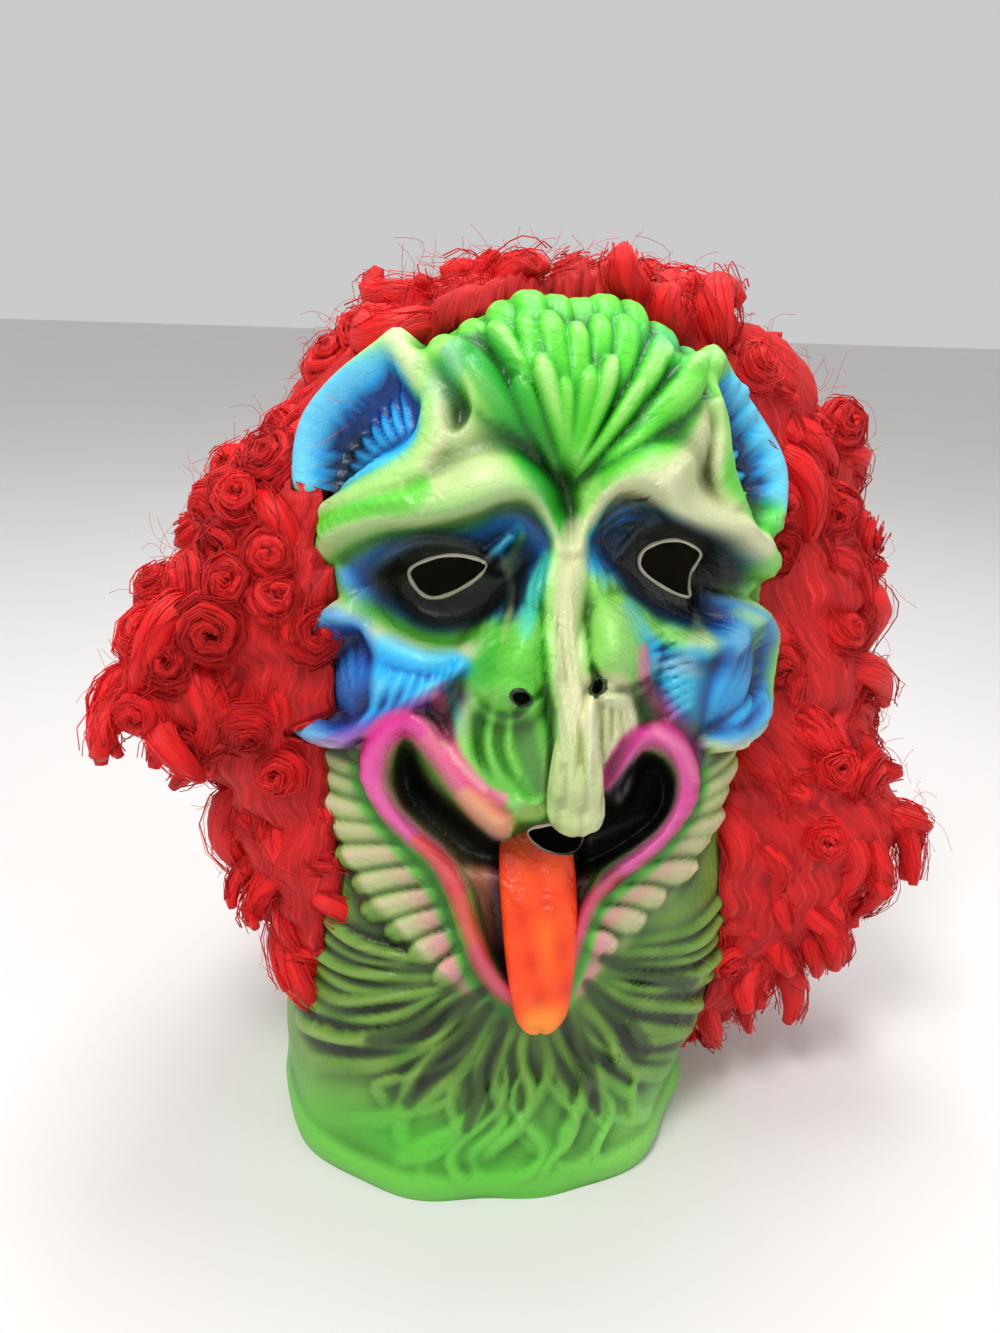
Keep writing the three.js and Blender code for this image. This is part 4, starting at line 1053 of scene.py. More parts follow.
# The painting, in order. Each step names a method of Airbrush, a colour and its strength; then
#   stroke  rows of u, w, half width
#   area    softness of its edge, outline
#   spot    u, w, half width, half height
FACE_PAINT = (
    # forehead and brow plates
    ("spot", "teal", 0.6, 62, 376, 16, 9),
    ("spot", "pale", 0.5, -66, 372, 10, 9),
    ("stroke", "teal", 0.5, (-70, 352, 8), (-60, 364, 8), (-44, 366, 6)),
    ("area", "cream", 0.75, 9, (-62, 356), (-40, 350), (-28, 336), (-34, 328), (-52, 324),
     (-74, 318), (-84, 326), (-72, 342)),
    ("stroke", "bright", 0.75, (-112, 300, 7), (-98, 308, 10), (-84, 317, 10), (-72, 326, 7)),
    ("stroke", "deep", 0.9, (-52, 372, 8), (-34, 358, 9), (-18, 338, 8), (-5, 322, 7),
     (0, 308, 6)),
    ("area", "cream", 0.9, 5, (60, 356), (73, 348), (79, 332), (92, 314), (112, 294), (104, 288),
     (78, 298), (56, 306), (40, 314), (22, 322), (18, 330), (34, 336), (50, 344)),
    ("stroke", "bright", 0.8, (28, 352, 8), (44, 350, 8), (58, 358, 7)),
    ("stroke", "pale", 0.7, (8, 334, 5), (10, 320, 6), (6, 304, 6)),
    ("stroke", "cream", 0.6, (-120, 285, 3), (-104, 297, 4), (-86, 307, 4), (-68, 312, 4),
     (-50, 318, 4), (-34, 325, 4), (-20, 326, 4), (-10, 316, 3), (-3, 300, 3)),
    ("stroke", "cream", 0.8, (10, 318, 4), (18, 328, 5), (30, 330, 5), (44, 325, 5)),
    # eyes
    ("area", "blue", 0.95, 4, (-106, 284), (-88, 300), (-68, 307), (-50, 312), (-34, 321),
     (-20, 321), (-10, 310), (-12, 294), (-18, 278), (-30, 270), (-40, 272), (-60, 266),
     (-88, 272)),
    ("area", "blue", 0.95, 4, (12, 296), (12, 312), (20, 324), (34, 324), (50, 318), (78, 302),
     (104, 286), (102, 276), (84, 264), (60, 268), (36, 280), (22, 290)),
    ("stroke", "teal", 0.8, (-11, 300, 5), (-16, 284, 6), (-20, 268, 5)),
    ("stroke", "sky", 0.75, (13, 312, 4), (13, 298, 5), (22, 286, 4)),
    ("stroke", "sky", 0.9, (-26, 313, 4), (-34, 305, 5), (-42, 297, 4)),
    ("stroke", "pale", 0.6, (-24, 311, 2.5), (-28, 302, 3), (-31, 290, 3)),
    ("area", "black", 1, 4.5, (-95, 284), (-81, 298), (-66, 307), (-48, 306), (-33, 298),
     (-29, 284), (-44, 271), (-66, 268), (-84, 275)),
    ("area", "black", 1, 4.5, (27, 302), (35, 315), (53, 316), (80, 303), (100, 283), (94, 271),
     (76, 268), (50, 278), (33, 289)),
    ("spot", "maroon", 0.8, -84, 284, 8, 6),
    ("spot", "maroon", 0.7, 92, 282, 8, 7),
    *(
        ("stroke", "black", 0.6, *((u, w + lift, wide) for u, w, wide in WRINKLE))
        for lift in (0, 5, 10)
    ),
    ("stroke", "black", 0.7, (-24, 298, 4), (-24, 284, 5), (-30, 272, 4)),
    ("stroke", "cream", 0.6, (-33, 300, 2.4), (-28, 282, 2.6), (-31, 264, 2.4)),
    # bags, cheeks and fins
    ("stroke", "cream", 0.85, (-112, 278, 4), (-98, 268, 5), (-80, 260, 5), (-60, 256, 5),
     (-42, 260, 5)),
    ("stroke", "teal", 0.75, (-78, 254, 5), (-62, 250, 5), (-48, 252, 6)),
    ("stroke", "lime", 0.6, (-40, 266, 5), (-38, 250, 6)),
    ("area", "sky", 1, 3.5, (-86, 262), (-88, 246), (-92, 224), (-76, 228), (-60, 242), (-46, 252),
     (-52, 258), (-68, 258)),
    ("area", "blue", 1, 3, (-102, 272), (-120, 260), (-132, 236), (-124, 214), (-98, 214),
     (-88, 228), (-86, 248), (-88, 264)),
    ("stroke", "violet", 0.85, (-126, 212, 6), (-104, 212, 6), (-88, 222, 6), (-72, 232, 6),
     (-56, 243, 5)),
    ("area", "violet", 0.6, 5, (-66, 236), (-52, 246), (-44, 240), (-46, 226), (-58, 226)),
    ("stroke", "teal", 0.6, (-54, 244, 3), (-50, 230, 4), (-56, 218, 3)),
    ("stroke", "cream", 0.6, (78, 268, 6), (74, 258, 7), (70, 250, 6)),
    ("area", "sky", 0.85, 4, (48, 262), (62, 258), (78, 254), (77, 228), (64, 224), (52, 234),
     (46, 248)),
    ("stroke", "sky", 0.7, (36, 276, 5), (46, 262, 6), (56, 252, 5)),
    ("stroke", "rose", 0.4, (52, 252, 5), (66, 250, 6), (74, 246, 4)),
    ("area", "blue", 0.9, 3, (84, 274), (100, 272), (112, 258), (116, 240), (108, 220), (92, 213),
     (78, 216), (74, 228), (78, 248)),
    ("stroke", "pale", 0.55, (94, 268, 4), (102, 256, 5), (108, 240, 5)),
    ("area", "sky", 0.7, 5, (78, 242), (98, 240), (110, 232), (100, 220), (84, 216), (77, 224)),
    ("stroke", "pale", 0.7, (98, 276, 5), (114, 263, 6), (124, 246, 6), (118, 222, 5),
     (98, 210, 5), (82, 208, 4)),
    ("stroke", "pink", 0.85, (44, 258, 4), (46, 244, 5), (56, 230, 6), (68, 218, 6), (74, 208, 5)),
    ("stroke", "violet", 0.5, (54, 240, 4), (62, 230, 5), (72, 220, 5), (76, 206, 4)),
    # nose
    ("stroke", "teal", 0.55, (-12, 296, 5), (-16, 280, 7), (-20, 268, 6)),
    ("area", "bright", 0.45, 6, (-42, 262), (-30, 274), (-14, 262), (-10, 244), (-22, 236),
     (-38, 240)),
    ("spot", "deep", 0.5, -38, 256, 6, 12),
    ("area", "pale", 0.6, 6, (10, 290), (26, 288), (42, 272), (42, 256), (28, 244), (12, 250)),
    ("area", "cream", 0.9, 3.5, (8, 244), (22, 250), (38, 246), (42, 226), (34, 204), (18, 200),
     (8, 204)),
    ("stroke", "cream", 0.9, (2, 316, 7), (2, 300, 12), (2, 280, 12), (3, 262, 11), (5, 244, 11),
     (8, 228, 11), (9, 212, 12), (9, 194, 12)),
    ("stroke", "pale", 0.6, (-6, 304, 2), (-7, 280, 2.5), (-4, 250, 2), (-2, 226, 2)),
    ("stroke", "pale", 0.6, (-4, 222, 3), (-5, 204, 4), (2, 194, 4)),
    ("stroke", "fold_shade", 0.42, (-24, 240, 3), (-18, 230, 6), (-13, 216, 6), (-8, 205, 4)),
    ("stroke", "pale", 0.5, (-44, 236, 5), (-46, 222, 6), (-38, 206, 5)),
    # upper lip band and the rose fold above it
    ("stroke", "pink", 0.9, (-58, 238, 5), (-52, 222, 5), (-44, 210, 5), (-34, 202, 5),
     (-26, 200, 4)),
    ("stroke", "cream", 0.6, (-66, 232, 3), (-58, 220, 3), (-48, 210, 3)),
)
# After the neck: shadows between its tendrils, the mouth, the tip of the nose and the ears
LOWER_PAINT = (
    ("stroke", "dark", 0.72, (-30, 106, 4), (-52, 90, 7), (-78, 76, 5)),
    ("stroke", "dark", 0.72, (-26, 98, 4), (-44, 74, 7), (-60, 48, 4)),
    ("stroke", "dark", 0.72, (-18, 90, 4), (-26, 62, 6), (-32, 38, 3)),
    ("stroke", "dark", 0.72, (14, 92, 4), (26, 66, 7), (34, 40, 3)),
    ("stroke", "dark", 0.72, (26, 106, 4), (46, 84, 7), (64, 62, 4)),
    ("stroke", "dark", 0.72, (34, 118, 4), (60, 104, 6), (84, 92, 4)),
    ("spot", "bright", 0.6, -60, 30, 30, 14),
    ("spot", "bright", 0.4, -10, 18, 30, 14),
    ("spot", "pale", 0.5, 70, 22, 40, 16),
    # lips, mouth corners and the trough
    ("area", "tan", 1, 3, (-71, 218), (-66, 213), (-56, 203), (-46, 194), (-34, 184), (-22, 184),
     (-14, 176), (-26, 160), (-36, 158), (-46, 168), (-58, 178), (-70, 188), (-77, 200)),
    ("area", "black", 0.95, 4, (-72, 218), (-66, 213), (-56, 203), (-46, 194), (-34, 186),
     (-24, 182), (-30, 176), (-44, 182), (-56, 190), (-66, 198), (-72, 208)),
    ("area", "black", 0.98, 3.5, (14, 196), (24, 204), (36, 214), (48, 215), (58, 206), (61, 192),
     (55, 181), (42, 173), (28, 168), (12, 168)),
    ("stroke", "grey", 0.6, (16, 180, 1.5), (30, 184, 2), (46, 188, 1.5)),
    ("stroke", "dark_grey", 0.6, (18, 174, 1.5), (32, 176, 2), (48, 180, 1.5)),
    ("area", "maroon", 1, 4, (-34, 168), (-32, 150), (-26, 126), (-16, 104), (-4, 99), (6, 106),
     (11, 124), (14, 146), (22, 164), (10, 178), (-14, 178)),
    ("area", "brown", 0.8, 3, (-38, 172), (-36, 152), (-30, 130), (-26, 132), (-28, 150),
     (-30, 170)),
    ("stroke", "black", 0.9, (-24, 170, 3), (-22, 150, 3), (-20, 128, 3), (-14, 108, 3)),
    ("stroke", "black", 0.8, (14, 166, 3), (11, 146, 3), (8, 124, 3), (4, 108, 3)),
    ("stroke", "lip", 1, (-84, 206, 8), (-82, 217, 8), (-75, 227, 8), (-66, 226, 8), (-56, 218, 8),
     (-46, 208, 8.5), (-36, 198, 9), (-27, 190, 8)),
    ("stroke", "magenta", 0.9, (-86, 206, 6), (-83, 217, 6), (-75, 227, 6), (-66, 226, 5)),
    ("stroke", "peach", 0.9, (-42, 200, 6), (-33, 194, 8), (-25, 189, 7)),
    ("stroke", "rose", 0.7, (-54, 222, 2), (-44, 212, 2), (-34, 204, 2)),
    ("stroke", "magenta", 1, (-84, 212, 6), (-83, 202, 6), (-77, 190, 6), (-67, 181, 6),
     (-55, 173, 6), (-45, 158, 6)),
    ("stroke", "red", 0.9, (-62, 178, 5), (-50, 168, 6), (-43, 152, 6), (-37, 136, 6),
     (-30, 119, 6)),
    ("stroke", "chin_left", 1, (-34, 126, 6), (-28, 115, 6), (-18, 105, 6), (-4, 100, 6),
     (4, 102, 5)),
    ("stroke", "magenta", 1, (24, 206, 5), (36, 219, 7), (49, 223, 8), (62, 216, 8.5),
     (69, 202, 8.5), (67, 187, 8), (58, 176, 7), (45, 168, 7), (30, 160, 6)),
    ("stroke", "chin_right", 1, (34, 160, 5), (22, 150, 6), (17, 132, 6), (14, 118, 6),
     (8, 106, 5)),
    ("stroke", "pink", 0.6, (50, 226, 3), (66, 214, 3), (72, 200, 3)),
    # the nose's tip hangs over the mouth, with painted shade in the creases of the nose and the
    # tip
    ("stroke", "nose_crease", 0.45, (-2, 236, 2), (-4, 216, 3), (-4, 198, 3)),
    ("stroke", "nose_tip", 1, (8, 218, 11), (9, 205, 12.5), (9, 191, 13)),
    ("stroke", "tip_crease", 0.6, (4, 214, 1.5), (4, 192, 2)),
    ("stroke", "tip_shade", 0.5, (12, 212, 1.5), (13, 193, 2)),
    # ears
    ("area", "sky", 1, 3.5, (-80, 356), (-72, 347), (-76, 336), (-90, 326), (-106, 318),
     (-124, 313), (-136, 336), (-120, 356), (-100, 366)),
    ("area", "blue", 0.3, 6, (-100, 338), (-108, 352), (-122, 354), (-136, 336), (-124, 320),
     (-110, 326)),
    ("stroke", "cream", 0.55, (-104, 374, 6), (-92, 368, 6), (-78, 362, 7), (-67, 356, 6),
     (-64, 344, 6), (-78, 329, 6), (-98, 316, 5), (-114, 308, 4)),
    ("stroke", "pale", 0.6, (-70, 352, 5), (-68, 342, 5), (-80, 330, 5), (-98, 318, 4)),
    ("area", "sky", 1, 3.5, (92, 358), (85, 348), (84, 334), (91, 318), (106, 302), (126, 298),
     (136, 324), (126, 350), (104, 364)),
    ("stroke", "lime", 0.85, (66, 360, 6), (82, 362, 7), (94, 366, 7), (104, 371, 7),
     (106, 372, 6)),
    ("stroke", "pale", 0.6, (84, 362, 5), (80, 350, 5), (79, 338, 5), (85, 322, 5)),
)
# The lobes at the right brow's end
BROW_END_PAINT = (
    ("area", "bright", 0.85, 4, (76, 330), (88, 336), (106, 322), (122, 304), (124, 280),
     (114, 276), (106, 286), (102, 300), (88, 312)),
    ("area", "lime", 0.7, 4, (104, 292), (118, 290), (124, 272), (112, 264), (104, 274)),
)
# Millimetres of relief that take the full colour of a crown or a groove: mostly painted highlights
# on crowns and painted shade in grooves
FULL_RELIEF = 1.8


def paint_face(brush, relief, hollow):
    """Airbrushes the face and paints shade and highlights; relief and hollow are its height over a
    near and a far average.
    """
    u, w = brush.chart.u, brush.chart.w
    around = np.abs(u)
    groove = np.clip(-relief / FULL_RELIEF, 0, 1)
    crown = np.clip(relief / FULL_RELIEF, 0, 1)
    # crest and valley of the forehead, paler on the crowns as painted highlight and darker in the
    # grooves as painted shade
    top = smooth(322, 350, w) * (1 - smooth(118, 150, around))
    brush.lay(top, "bright")
    brush.lay(top * crown * 0.75, "pale")
    brush.lay(top * groove * 0.9, "deep")
    follow(brush, FACE_PAINT)
    # petals: pale inside, green at their ends, and a darker green in the gaps between them as
    # painted shade
    cheek = (1 - smooth(206, 222, w)) * smooth(96, 104, w)
    ring = petal_way(brush.chart)
    inner = cheek * smooth(2, 6, ring) * (1 - smooth(26, 46, ring))
    brush.lay(inner * (0.55 + 0.4 * crown), "petal")
    brush.lay(inner * (1 - smooth(6, 20, ring)) * smooth(190, 120, w) * 0.6, "pink")
    outer = cheek * smooth(20, 40, ring) * (1 - smooth(46, 56, ring))
    brush.lay(outer * 0.5, "petal_end")
    brush.lay((inner + outer) * groove * 0.9, "petal_gap")
    # neck: smudged moss, lime at the hem, painted shade between the tendrils and painted
    # highlights on their tops
    neck = 1 - smooth(0, 10, w - knots(u, NECK_LINE))
    brush.lay(neck, "moss")
    low = neck * (1 - smooth(34, 76, w + 0.16 * around))
    smudge = np.sin(u * 0.13 + 2 * np.sin(w * 0.09)) * np.sin(w * 0.11 + 2 * np.sin(u * 0.05))
    brush.lay(neck * np.clip(0.4 + 0.8 * smudge, 0, 1) * 0.6, "neck_smudge")
    brush.lay(neck * smooth(60, 120, around) * 0.45, "neck_side")
    brush.lay(low, "lime")
    shadow = neck * (1 - low)
    brush.lay(shadow * np.clip(-relief / 1.2, 0, 1) * 0.85, "dark")
    brush.lay(shadow * crown * 0.35, "neck_ridge")
    brush.lay(low * groove * 0.5, "moss")
    brush.lay(neck * np.clip(relief / 4.5, 0, 1) ** 2 * 0.5, "tendril_top")
    follow(brush, LOWER_PAINT)
    # painted highlights on the crowns and painted shade in the grooves of the blue parts
    blues = np.clip(brush.colour[:, 2] - brush.colour[:, 0] - 0.2, 0, 1) * 2
    blues = blues * (1 - smooth(378, 392, w))
    brush.lay(blues * crown * 0.45, "light_blue")
    brush.lay(blues * groove * 0.6, "dark_blue")
    follow(brush, BROW_END_PAINT)
    # every groove and hollow a little darker as painted shade, every raised edge a little paler as
    # painted highlight
    not_ears = 1 - smooth(330, 350, w) * smooth(70, 84, around)
    brush.lay(np.clip(-hollow / 9, 0, 1) * not_ears * 0.6, "hollow")
    dip = groove[:, None]
    brush.colour = brush.colour ** (1 + 0.4 * dip) * (1 - 0.12 * dip)
    brush.lay((1 - neck) * np.clip((relief - 0.3) / 2.5, 0, 1) * 0.25, "edge")


LIP_OUTSIDE = (
    (-66, 236), (-86, 228), (-92, 206), (-86, 188), (-70, 172), (-54, 154), (-44, 132),
    (-34, 110), (-18, 97), (-4, 92), (12, 98), (22, 118), (26, 142), (38, 154), (58, 166),
    (74, 184), (78, 204), (68, 224),
)


def petal_way(chart):
    """How far outside the lips a point of the face is, in millimetres; 0 on and within them."""
    chosen, away, side, _ = chart.near(spline(LIP_OUTSIDE, 6), 60)
    distance = np.zeros(len(chart.u))
    distance[chosen] = np.where(side < 0, away, 0)
    return distance


# The height where the petals end and the neck begins, by u
NECK_LINE = (
    (-150, 190), (-112, 178), (-92, 150), (-74, 130), (-54, 110), (-36, 98), (-20, 89), (0, 84),
    (18, 90), (34, 108), (54, 124), (72, 138), (92, 156), (112, 176), (150, 196),
)


TONGUE = (
    # height, distance in front of the axis, half width, half thickness
    (186, 62, 9, 2.4), (178, 68, 14, 3.4), (166, 78, 16, 4.6), (150, 88, 16, 5.4),
    (132, 95, 14.8, 5.6), (118, 99, 13, 5.6), (108, 101, 11, 5.2), (102, 101, 7.5, 4),
    (99.5, 100.5, 3, 2),
)

TONGUE_X = FACE_CENTRE[0] - 4


def make_tongue(paint, material):
    """The tongue: a flat tube with a groove along its middle, hanging over the lower lip."""
    line = spline(TONGUE, 8)
    slope = np.arctan2(np.gradient(line[:, 1]), -np.gradient(line[:, 0]))[:, None]
    a = np.linspace(0, 2 * math.pi, 40, endpoint=False)
    front = np.sin(a) > 0
    flat = np.sign(np.sin(a)) * np.abs(np.sin(a)) ** 0.8
    groove = 0.9 * np.exp(-((np.cos(a) / 0.16) ** 2)) * front
    z, reach, wide, thick = (line[:, k][:, None] for k in range(4))
    off = thick * (flat - groove * smooth(196, 160, z) * 0.35)
    off = off + 0.35 * np.sin(z * 0.55 + 4 * np.cos(a)) * front * smooth(0, 0.6, np.sin(a))
    x = TONGUE_X + wide * np.cos(a)
    y = FACE_CENTRE[1] - reach - off * np.cos(slope)
    points, faces = tube(np.stack([x, y, z + off * np.sin(slope)], -1) * MM)
    height = points[:, 2] / MM
    across = (points[:, 0] / MM - TONGUE_X) / 16
    mottle = np.sin(height * 0.23 + 3 * across) * np.sin(height * 0.11 - 5 * across + 1)
    mottle = 0.5 + 0.5 * mottle
    colour = np.tile(shade(paint, "orange"), (len(points), 1))
    for share, name in (
        (0.6 * mottle**2, "tongue_red"),
        (0.4 * np.exp(-((height - 140) / 12) ** 2 - ((across - 0.1) / 0.3) ** 2), "amber"),
        (0.85 * smooth(122, 108, height) * smooth(0.9, 0.2, np.abs(across)), "amber"),
        (0.8 * smooth(170, 182, height) * smooth(0.2, 0.6, across), "tongue_side"),
        (0.6 * smooth(166, 180, height), "tongue_root"),
    ):
        colour = laid(colour, share, shade(paint, name))
    return make_object("tongue", points, outward(points, faces), material, linear(colour))


NOSE_TIP = (
    # height where it lies on the nose and how deep it sits in it
    ((228, 7), (216, 6.5), (206, 6), (198, 6)),
    # from there on, steps from the last of those places
    ((0.6, -0.6, -5.5), (1.0, 0.2, -10), (1.2, 1.2, -13), (1.2, 2, -15)),
    # half widths and half thicknesses
    (7.5, 9.5, 10.6, 11, 10.8, 9.4, 6.6, 3),
    (4, 6, 7.4, 8, 8, 7, 5, 2.2),
)


def make_nose_tip(material):
    """The nose's end: it hangs down free of the face, in front of the mouth hole."""
    lying, hanging, widths, thicknesses = (np.array(rows) for rows in NOSE_TIP)
    w, sunk = lying.T
    u = np.full(len(w), 9.5)
    ridge = carved(u, w, carve(Chart(u, w)) - sunk)
    middle = np.vstack([ridge, ridge[-1] + hanging * MM])
    line = spline(np.column_stack([middle, MM * widths, MM * thicknesses]), 5)
    a = np.linspace(0, 2 * math.pi, 32, endpoint=False)
    turn = 3 * np.sin(np.arange(len(line))[:, None] * 0.2)
    wrinkle = 0.0004 * np.sin(7 * a + turn) * (np.sin(a) > 0)
    x, y, z, wide, thick = (line[:, k][:, None] for k in range(5))
    x = x + (wide + wrinkle) * np.cos(a)
    y = y - (thick + wrinkle) * np.sin(a)
    points, faces = tube(np.stack(np.broadcast_arrays(x, y, z), -1))
    share = np.clip((points[:, 0] - line[0, 0]) / 0.012, -1, 1)[:, None]
    colour = np.array(MIXED["nose_tip"]) + np.array((0.07, 0.02, 0.07)) * share
    colour *= 1 - 0.12 * (np.sin(share * 9) > 0.6)
    return make_object("nose tip", points, outward(points, faces), material, linear(colour))


def zipper(outer, inner):
    """Triangles between a ring of points and one with only every fourth of them."""
    faces = []
    for g, a in enumerate(inner):
        b = inner[(g + 1) % len(inner)]
        o = [outer[(g * STRIDE + k) % len(outer)] for k in range(STRIDE + 1)]
        faces += [(a, o[0], o[1]), (a, o[1], o[2]), (a, o[2], b), (b, o[2], o[3]), (b, o[3], o[4])]
    return np.array(faces)[:, ::-1]


def inner_skin(height):
    """The inside's height at every fourth point: it follows the outside at the wall's distance."""
    columns = height.shape[1]
    lowest = height
    for k in (1, 2):
        lowest = np.minimum(lowest, np.minimum(np.roll(height, k, 1), np.roll(height, -k, 1)))
        lowest[k:] = np.minimum(lowest[k:], height[:-k])
        lowest[:-k] = np.minimum(lowest[:-k], height[k:])
    inner = np.minimum(blur(height, 1), lowest + 0.2)[::STRIDE, ::STRIDE] - WALL
    for way in (-1, 1):
        inner = np.minimum(inner, np.roll(inner, way, 1) + 1)
        inner = np.minimum(inner, shifted(inner, way) + 1)
    share = np.arange(STRIDE) / STRIDE
    for _ in range(8):
        between = np.tile(share, len(inner) - 1)[:, None]
        up = np.repeat(inner[:-1], STRIDE, 0) * (1 - between)
        up += np.repeat(inner[1:], STRIDE, 0) * between
        up = np.vstack([up, inner[-1:]])
        between = np.tile(share, up.shape[1])
        fine = np.repeat(up, STRIDE, 1) * (1 - between)
        fine = fine + np.repeat(np.roll(up, -1, 1), STRIDE, 1) * between
        excess = np.clip(fine - (height - THINNEST), 0, None)
        if excess.max() < 0.05:
            break
        cells = excess[:-1].reshape(-1, STRIDE, columns // STRIDE, STRIDE).max((1, 3))
        most = np.zeros_like(inner)
        for low in (0, 1):
            rows = slice(low, len(cells) + low)
            for left in (0, 1):
                most[rows] = np.maximum(most[rows], np.roll(cells, left, 1))
        inner = inner - most
    return inner


def mask_surface():
    """The outer skin's chart, its map and its heights."""
    around = np.where(FACE_COLUMNS > ROUND / 2, FACE_COLUMNS - ROUND, FACE_COLUMNS)
    u, w = np.meshgrid(around, FACE_ROWS)
    chart = Chart(u, w)
    height = carve(chart).reshape(u.shape)
    height = 0.7 * height + 0.3 * blur(height, 1)
    steep = smooth(2.5, 5.0, np.abs(height - blur(height, 3)))
    height = height + (blur(height, 2) - height) * steep * smooth(0, 20, 320 - w)
    return chart, u, w, height


def make_mask(paint):
    """The mask: outer and inner skin, tongue, cut holes with their rims, and the nose's tip."""
    chart, u, w, height = mask_surface()
    brush = Airbrush(chart, paint)
    paint_face(brush, *((height - blur(height, size)).ravel() for size in (3, 8)))
    outer = carved(u, w, height)
    coarse_u, coarse_w = u[::STRIDE, ::STRIDE], w[::STRIDE, ::STRIDE]
    side, rise = coarse_u - CHIN[0], coarse_w - CHIN[1]
    inner_height = inner_skin(height)
    inner_height -= CHIN_THICKER * np.exp(-(((side - 2) / 24) ** 2) - ((rise + 6) / 30) ** 2)
    inner = carved(coarse_u, coarse_w, inner_height)
    first = height.size
    crowns = outer[-1].mean(0), inner[-1].mean(0)
    points = np.vstack([outer.reshape(-1, 3), inner.reshape(-1, 3), *crowns])
    index = np.arange(first).reshape(height.shape)
    inner_index = first + np.arange(inner_height.size).reshape(inner_height.shape)
    skin = np.concatenate([
        split(ring_quads(*height.shape)), fan(len(points) - 2, index[-1]),
    ])
    in_faces = split(ring_quads(*inner_height.shape))[:, ::-1] + first
    in_cap = fan(len(points) - 1, inner_index[-1])[:, [0, 2, 1]]
    faces = np.concatenate([skin, in_faces, in_cap, zipper(index[0], inner_index[0])])
    colours = np.tile(shade(paint, "raw"), (len(points), 1))
    colours[:first] = brush.colour
    colours[first:-2][((np.abs(side) < 44) & (np.abs(rise) < 54)).ravel()] = MIXED["throat"]
    colours[-2] = brush.colour[-1]
    latex, raw = painted_latex(), raw_latex(paint.raw)
    mask = make_object("latex_clown_mask", points, faces, latex, linear(colours))
    mask.data.materials.append(raw)
    bare = np.zeros(len(faces), np.int32)
    bare[len(skin):] = 1
    chin = ((np.abs(side) < 36) & (np.abs(rise) < 46)).ravel()
    bare[len(skin):][:len(in_faces)][chin[in_faces[:, 0] - first]] = 0
    mask.data.polygons.foreach_set("material_index", bare)
    combine(mask, make_tongue(paint, latex), "UNION")
    # The rims take a near-black green, painted shade under the nose's wings; only the nostrils'
    # painted latex shows it
    for outline, material in (
        (EYE_LEFT, raw), (EYE_RIGHT, raw),
        (NOSTRIL_LEFT, latex), (NOSTRIL_RIGHT, latex), (MOUTH, raw),
    ):
        cut, rim = hole(outline, material, linear(MIXED["nostril"]))
        combine(mask, cut, "DIFFERENCE")
        combine(mask, rim, "UNION")
    combine(mask, make_nose_tip(latex), "UNION")
    mend_paint(mask.data)
    mask.data.set_sharp_from_angle(angle=math.radians(62))
    return mask


# Wig, by height: how far the hair stands off at each side and behind, and where it begins
NO_HAIR = -30.0
HAIR_LEFT = (
    (0, NO_HAIR), (70, NO_HAIR), (95, 6), (120, 18), (150, 30), (180, 42), (210, 61), (232, 70.9),
    (258, 67), (280, 48), (300, 30), (322, 20), (350, 18), (442, 20),
)

HAIR_RIGHT = (
    (0, NO_HAIR), (20, NO_HAIR), (45, 30), (75, 60), (105, 76), (130, 88), (155, 94), (185, 90),
    (215, 80), (250, 74), (290, 62), (320, 54), (350, 38), (442, 20),
)

HAIR_BACK = (
    (0, NO_HAIR), (40, NO_HAIR), (70, 16), (110, 36), (160, 42.3), (260, 44.3), (340, 34),
    (442, 20),
)

EDGE_LEFT = (
    (60, 80), (110, 74), (150, 82), (200, 92), (310, 94), (375, 96), (398, 66), (415, 20),
    (430, -60),
)

EDGE_RIGHT = (
    (36, 92), (90, 98), (150, 100), (200, 110), (310, 120), (375, 98), (398, 66), (415, 20),
    (430, -60),
)
HAIR_FRONT = 50.0


# Lumps of locks: width, height and depth in millimetres
LOCK_WIDE = ROUND / 18

LOCK_HIGH = 40.0
LOCK_DEPTH = 34
# The core's columns and rows, its least height over the latex and the gap under it
CORE_GRID = (176, 120)
CORE_LEAST = 3.0
CORE_CLEAR = 0.0008
# Locks stay outside the ears' ends and get so many tries to do so
EAR_ENDS = (120, 126)
TRIES = 6
FIBRE_LENGTH = 0.05
FLYAWAY_THICK = 0.00011


def hair_lumps(u, w):
    """Overlapping rows of lumps, 0 to 1, each fullest near its lower end."""
    most = np.zeros(np.shape(u))
    for row in (np.floor(w / LOCK_HIGH), np.ceil(w / LOCK_HIGH)):
        shift = np.where(row % 2, 0.5, 0.0)
        number = np.round(u / LOCK_WIDE - shift)
        across = (u / LOCK_WIDE - shift - number) / 0.6
        along = (w / LOCK_HIGH - row) / 0.85
        full = 1 - across**2 - (along + 0.45 * (1 - along**2)) ** 2
        size = 0.78 + 0.22 * np.sin(number * 2.4 + row * 4.1)
        most = np.maximum(most, size * np.sqrt(np.maximum(full, 0)))
    return most


def hair_edge(u, w):
    """Where the hair begins beside the face."""
    return np.where(u < 0, knots(w, EDGE_LEFT), knots(w, EDGE_RIGHT))


def hair_depth(u, w):
    """How far the hair stands off the head, in millimetres; NO_HAIR where there is none."""
    around = np.abs(u)
    side = np.where(u < 0, knots(w, HAIR_LEFT), knots(w, HAIR_RIGHT))
    back = smooth(150, 250, around)
    full = side * (1 - back) + knots(w, HAIR_BACK) * back
    lumps = LOCK_DEPTH * (hair_lumps(u, w) - 0.5)
    lumps = lumps * smooth(0.15, 0.6, narrowing(w)) * smooth(0, 60, full)
    edge = np.clip((around - hair_edge(u, w)) / HAIR_FRONT, 0, 1)
    return NO_HAIR + (full + lumps - NO_HAIR) * np.sin(math.pi / 2 * edge)


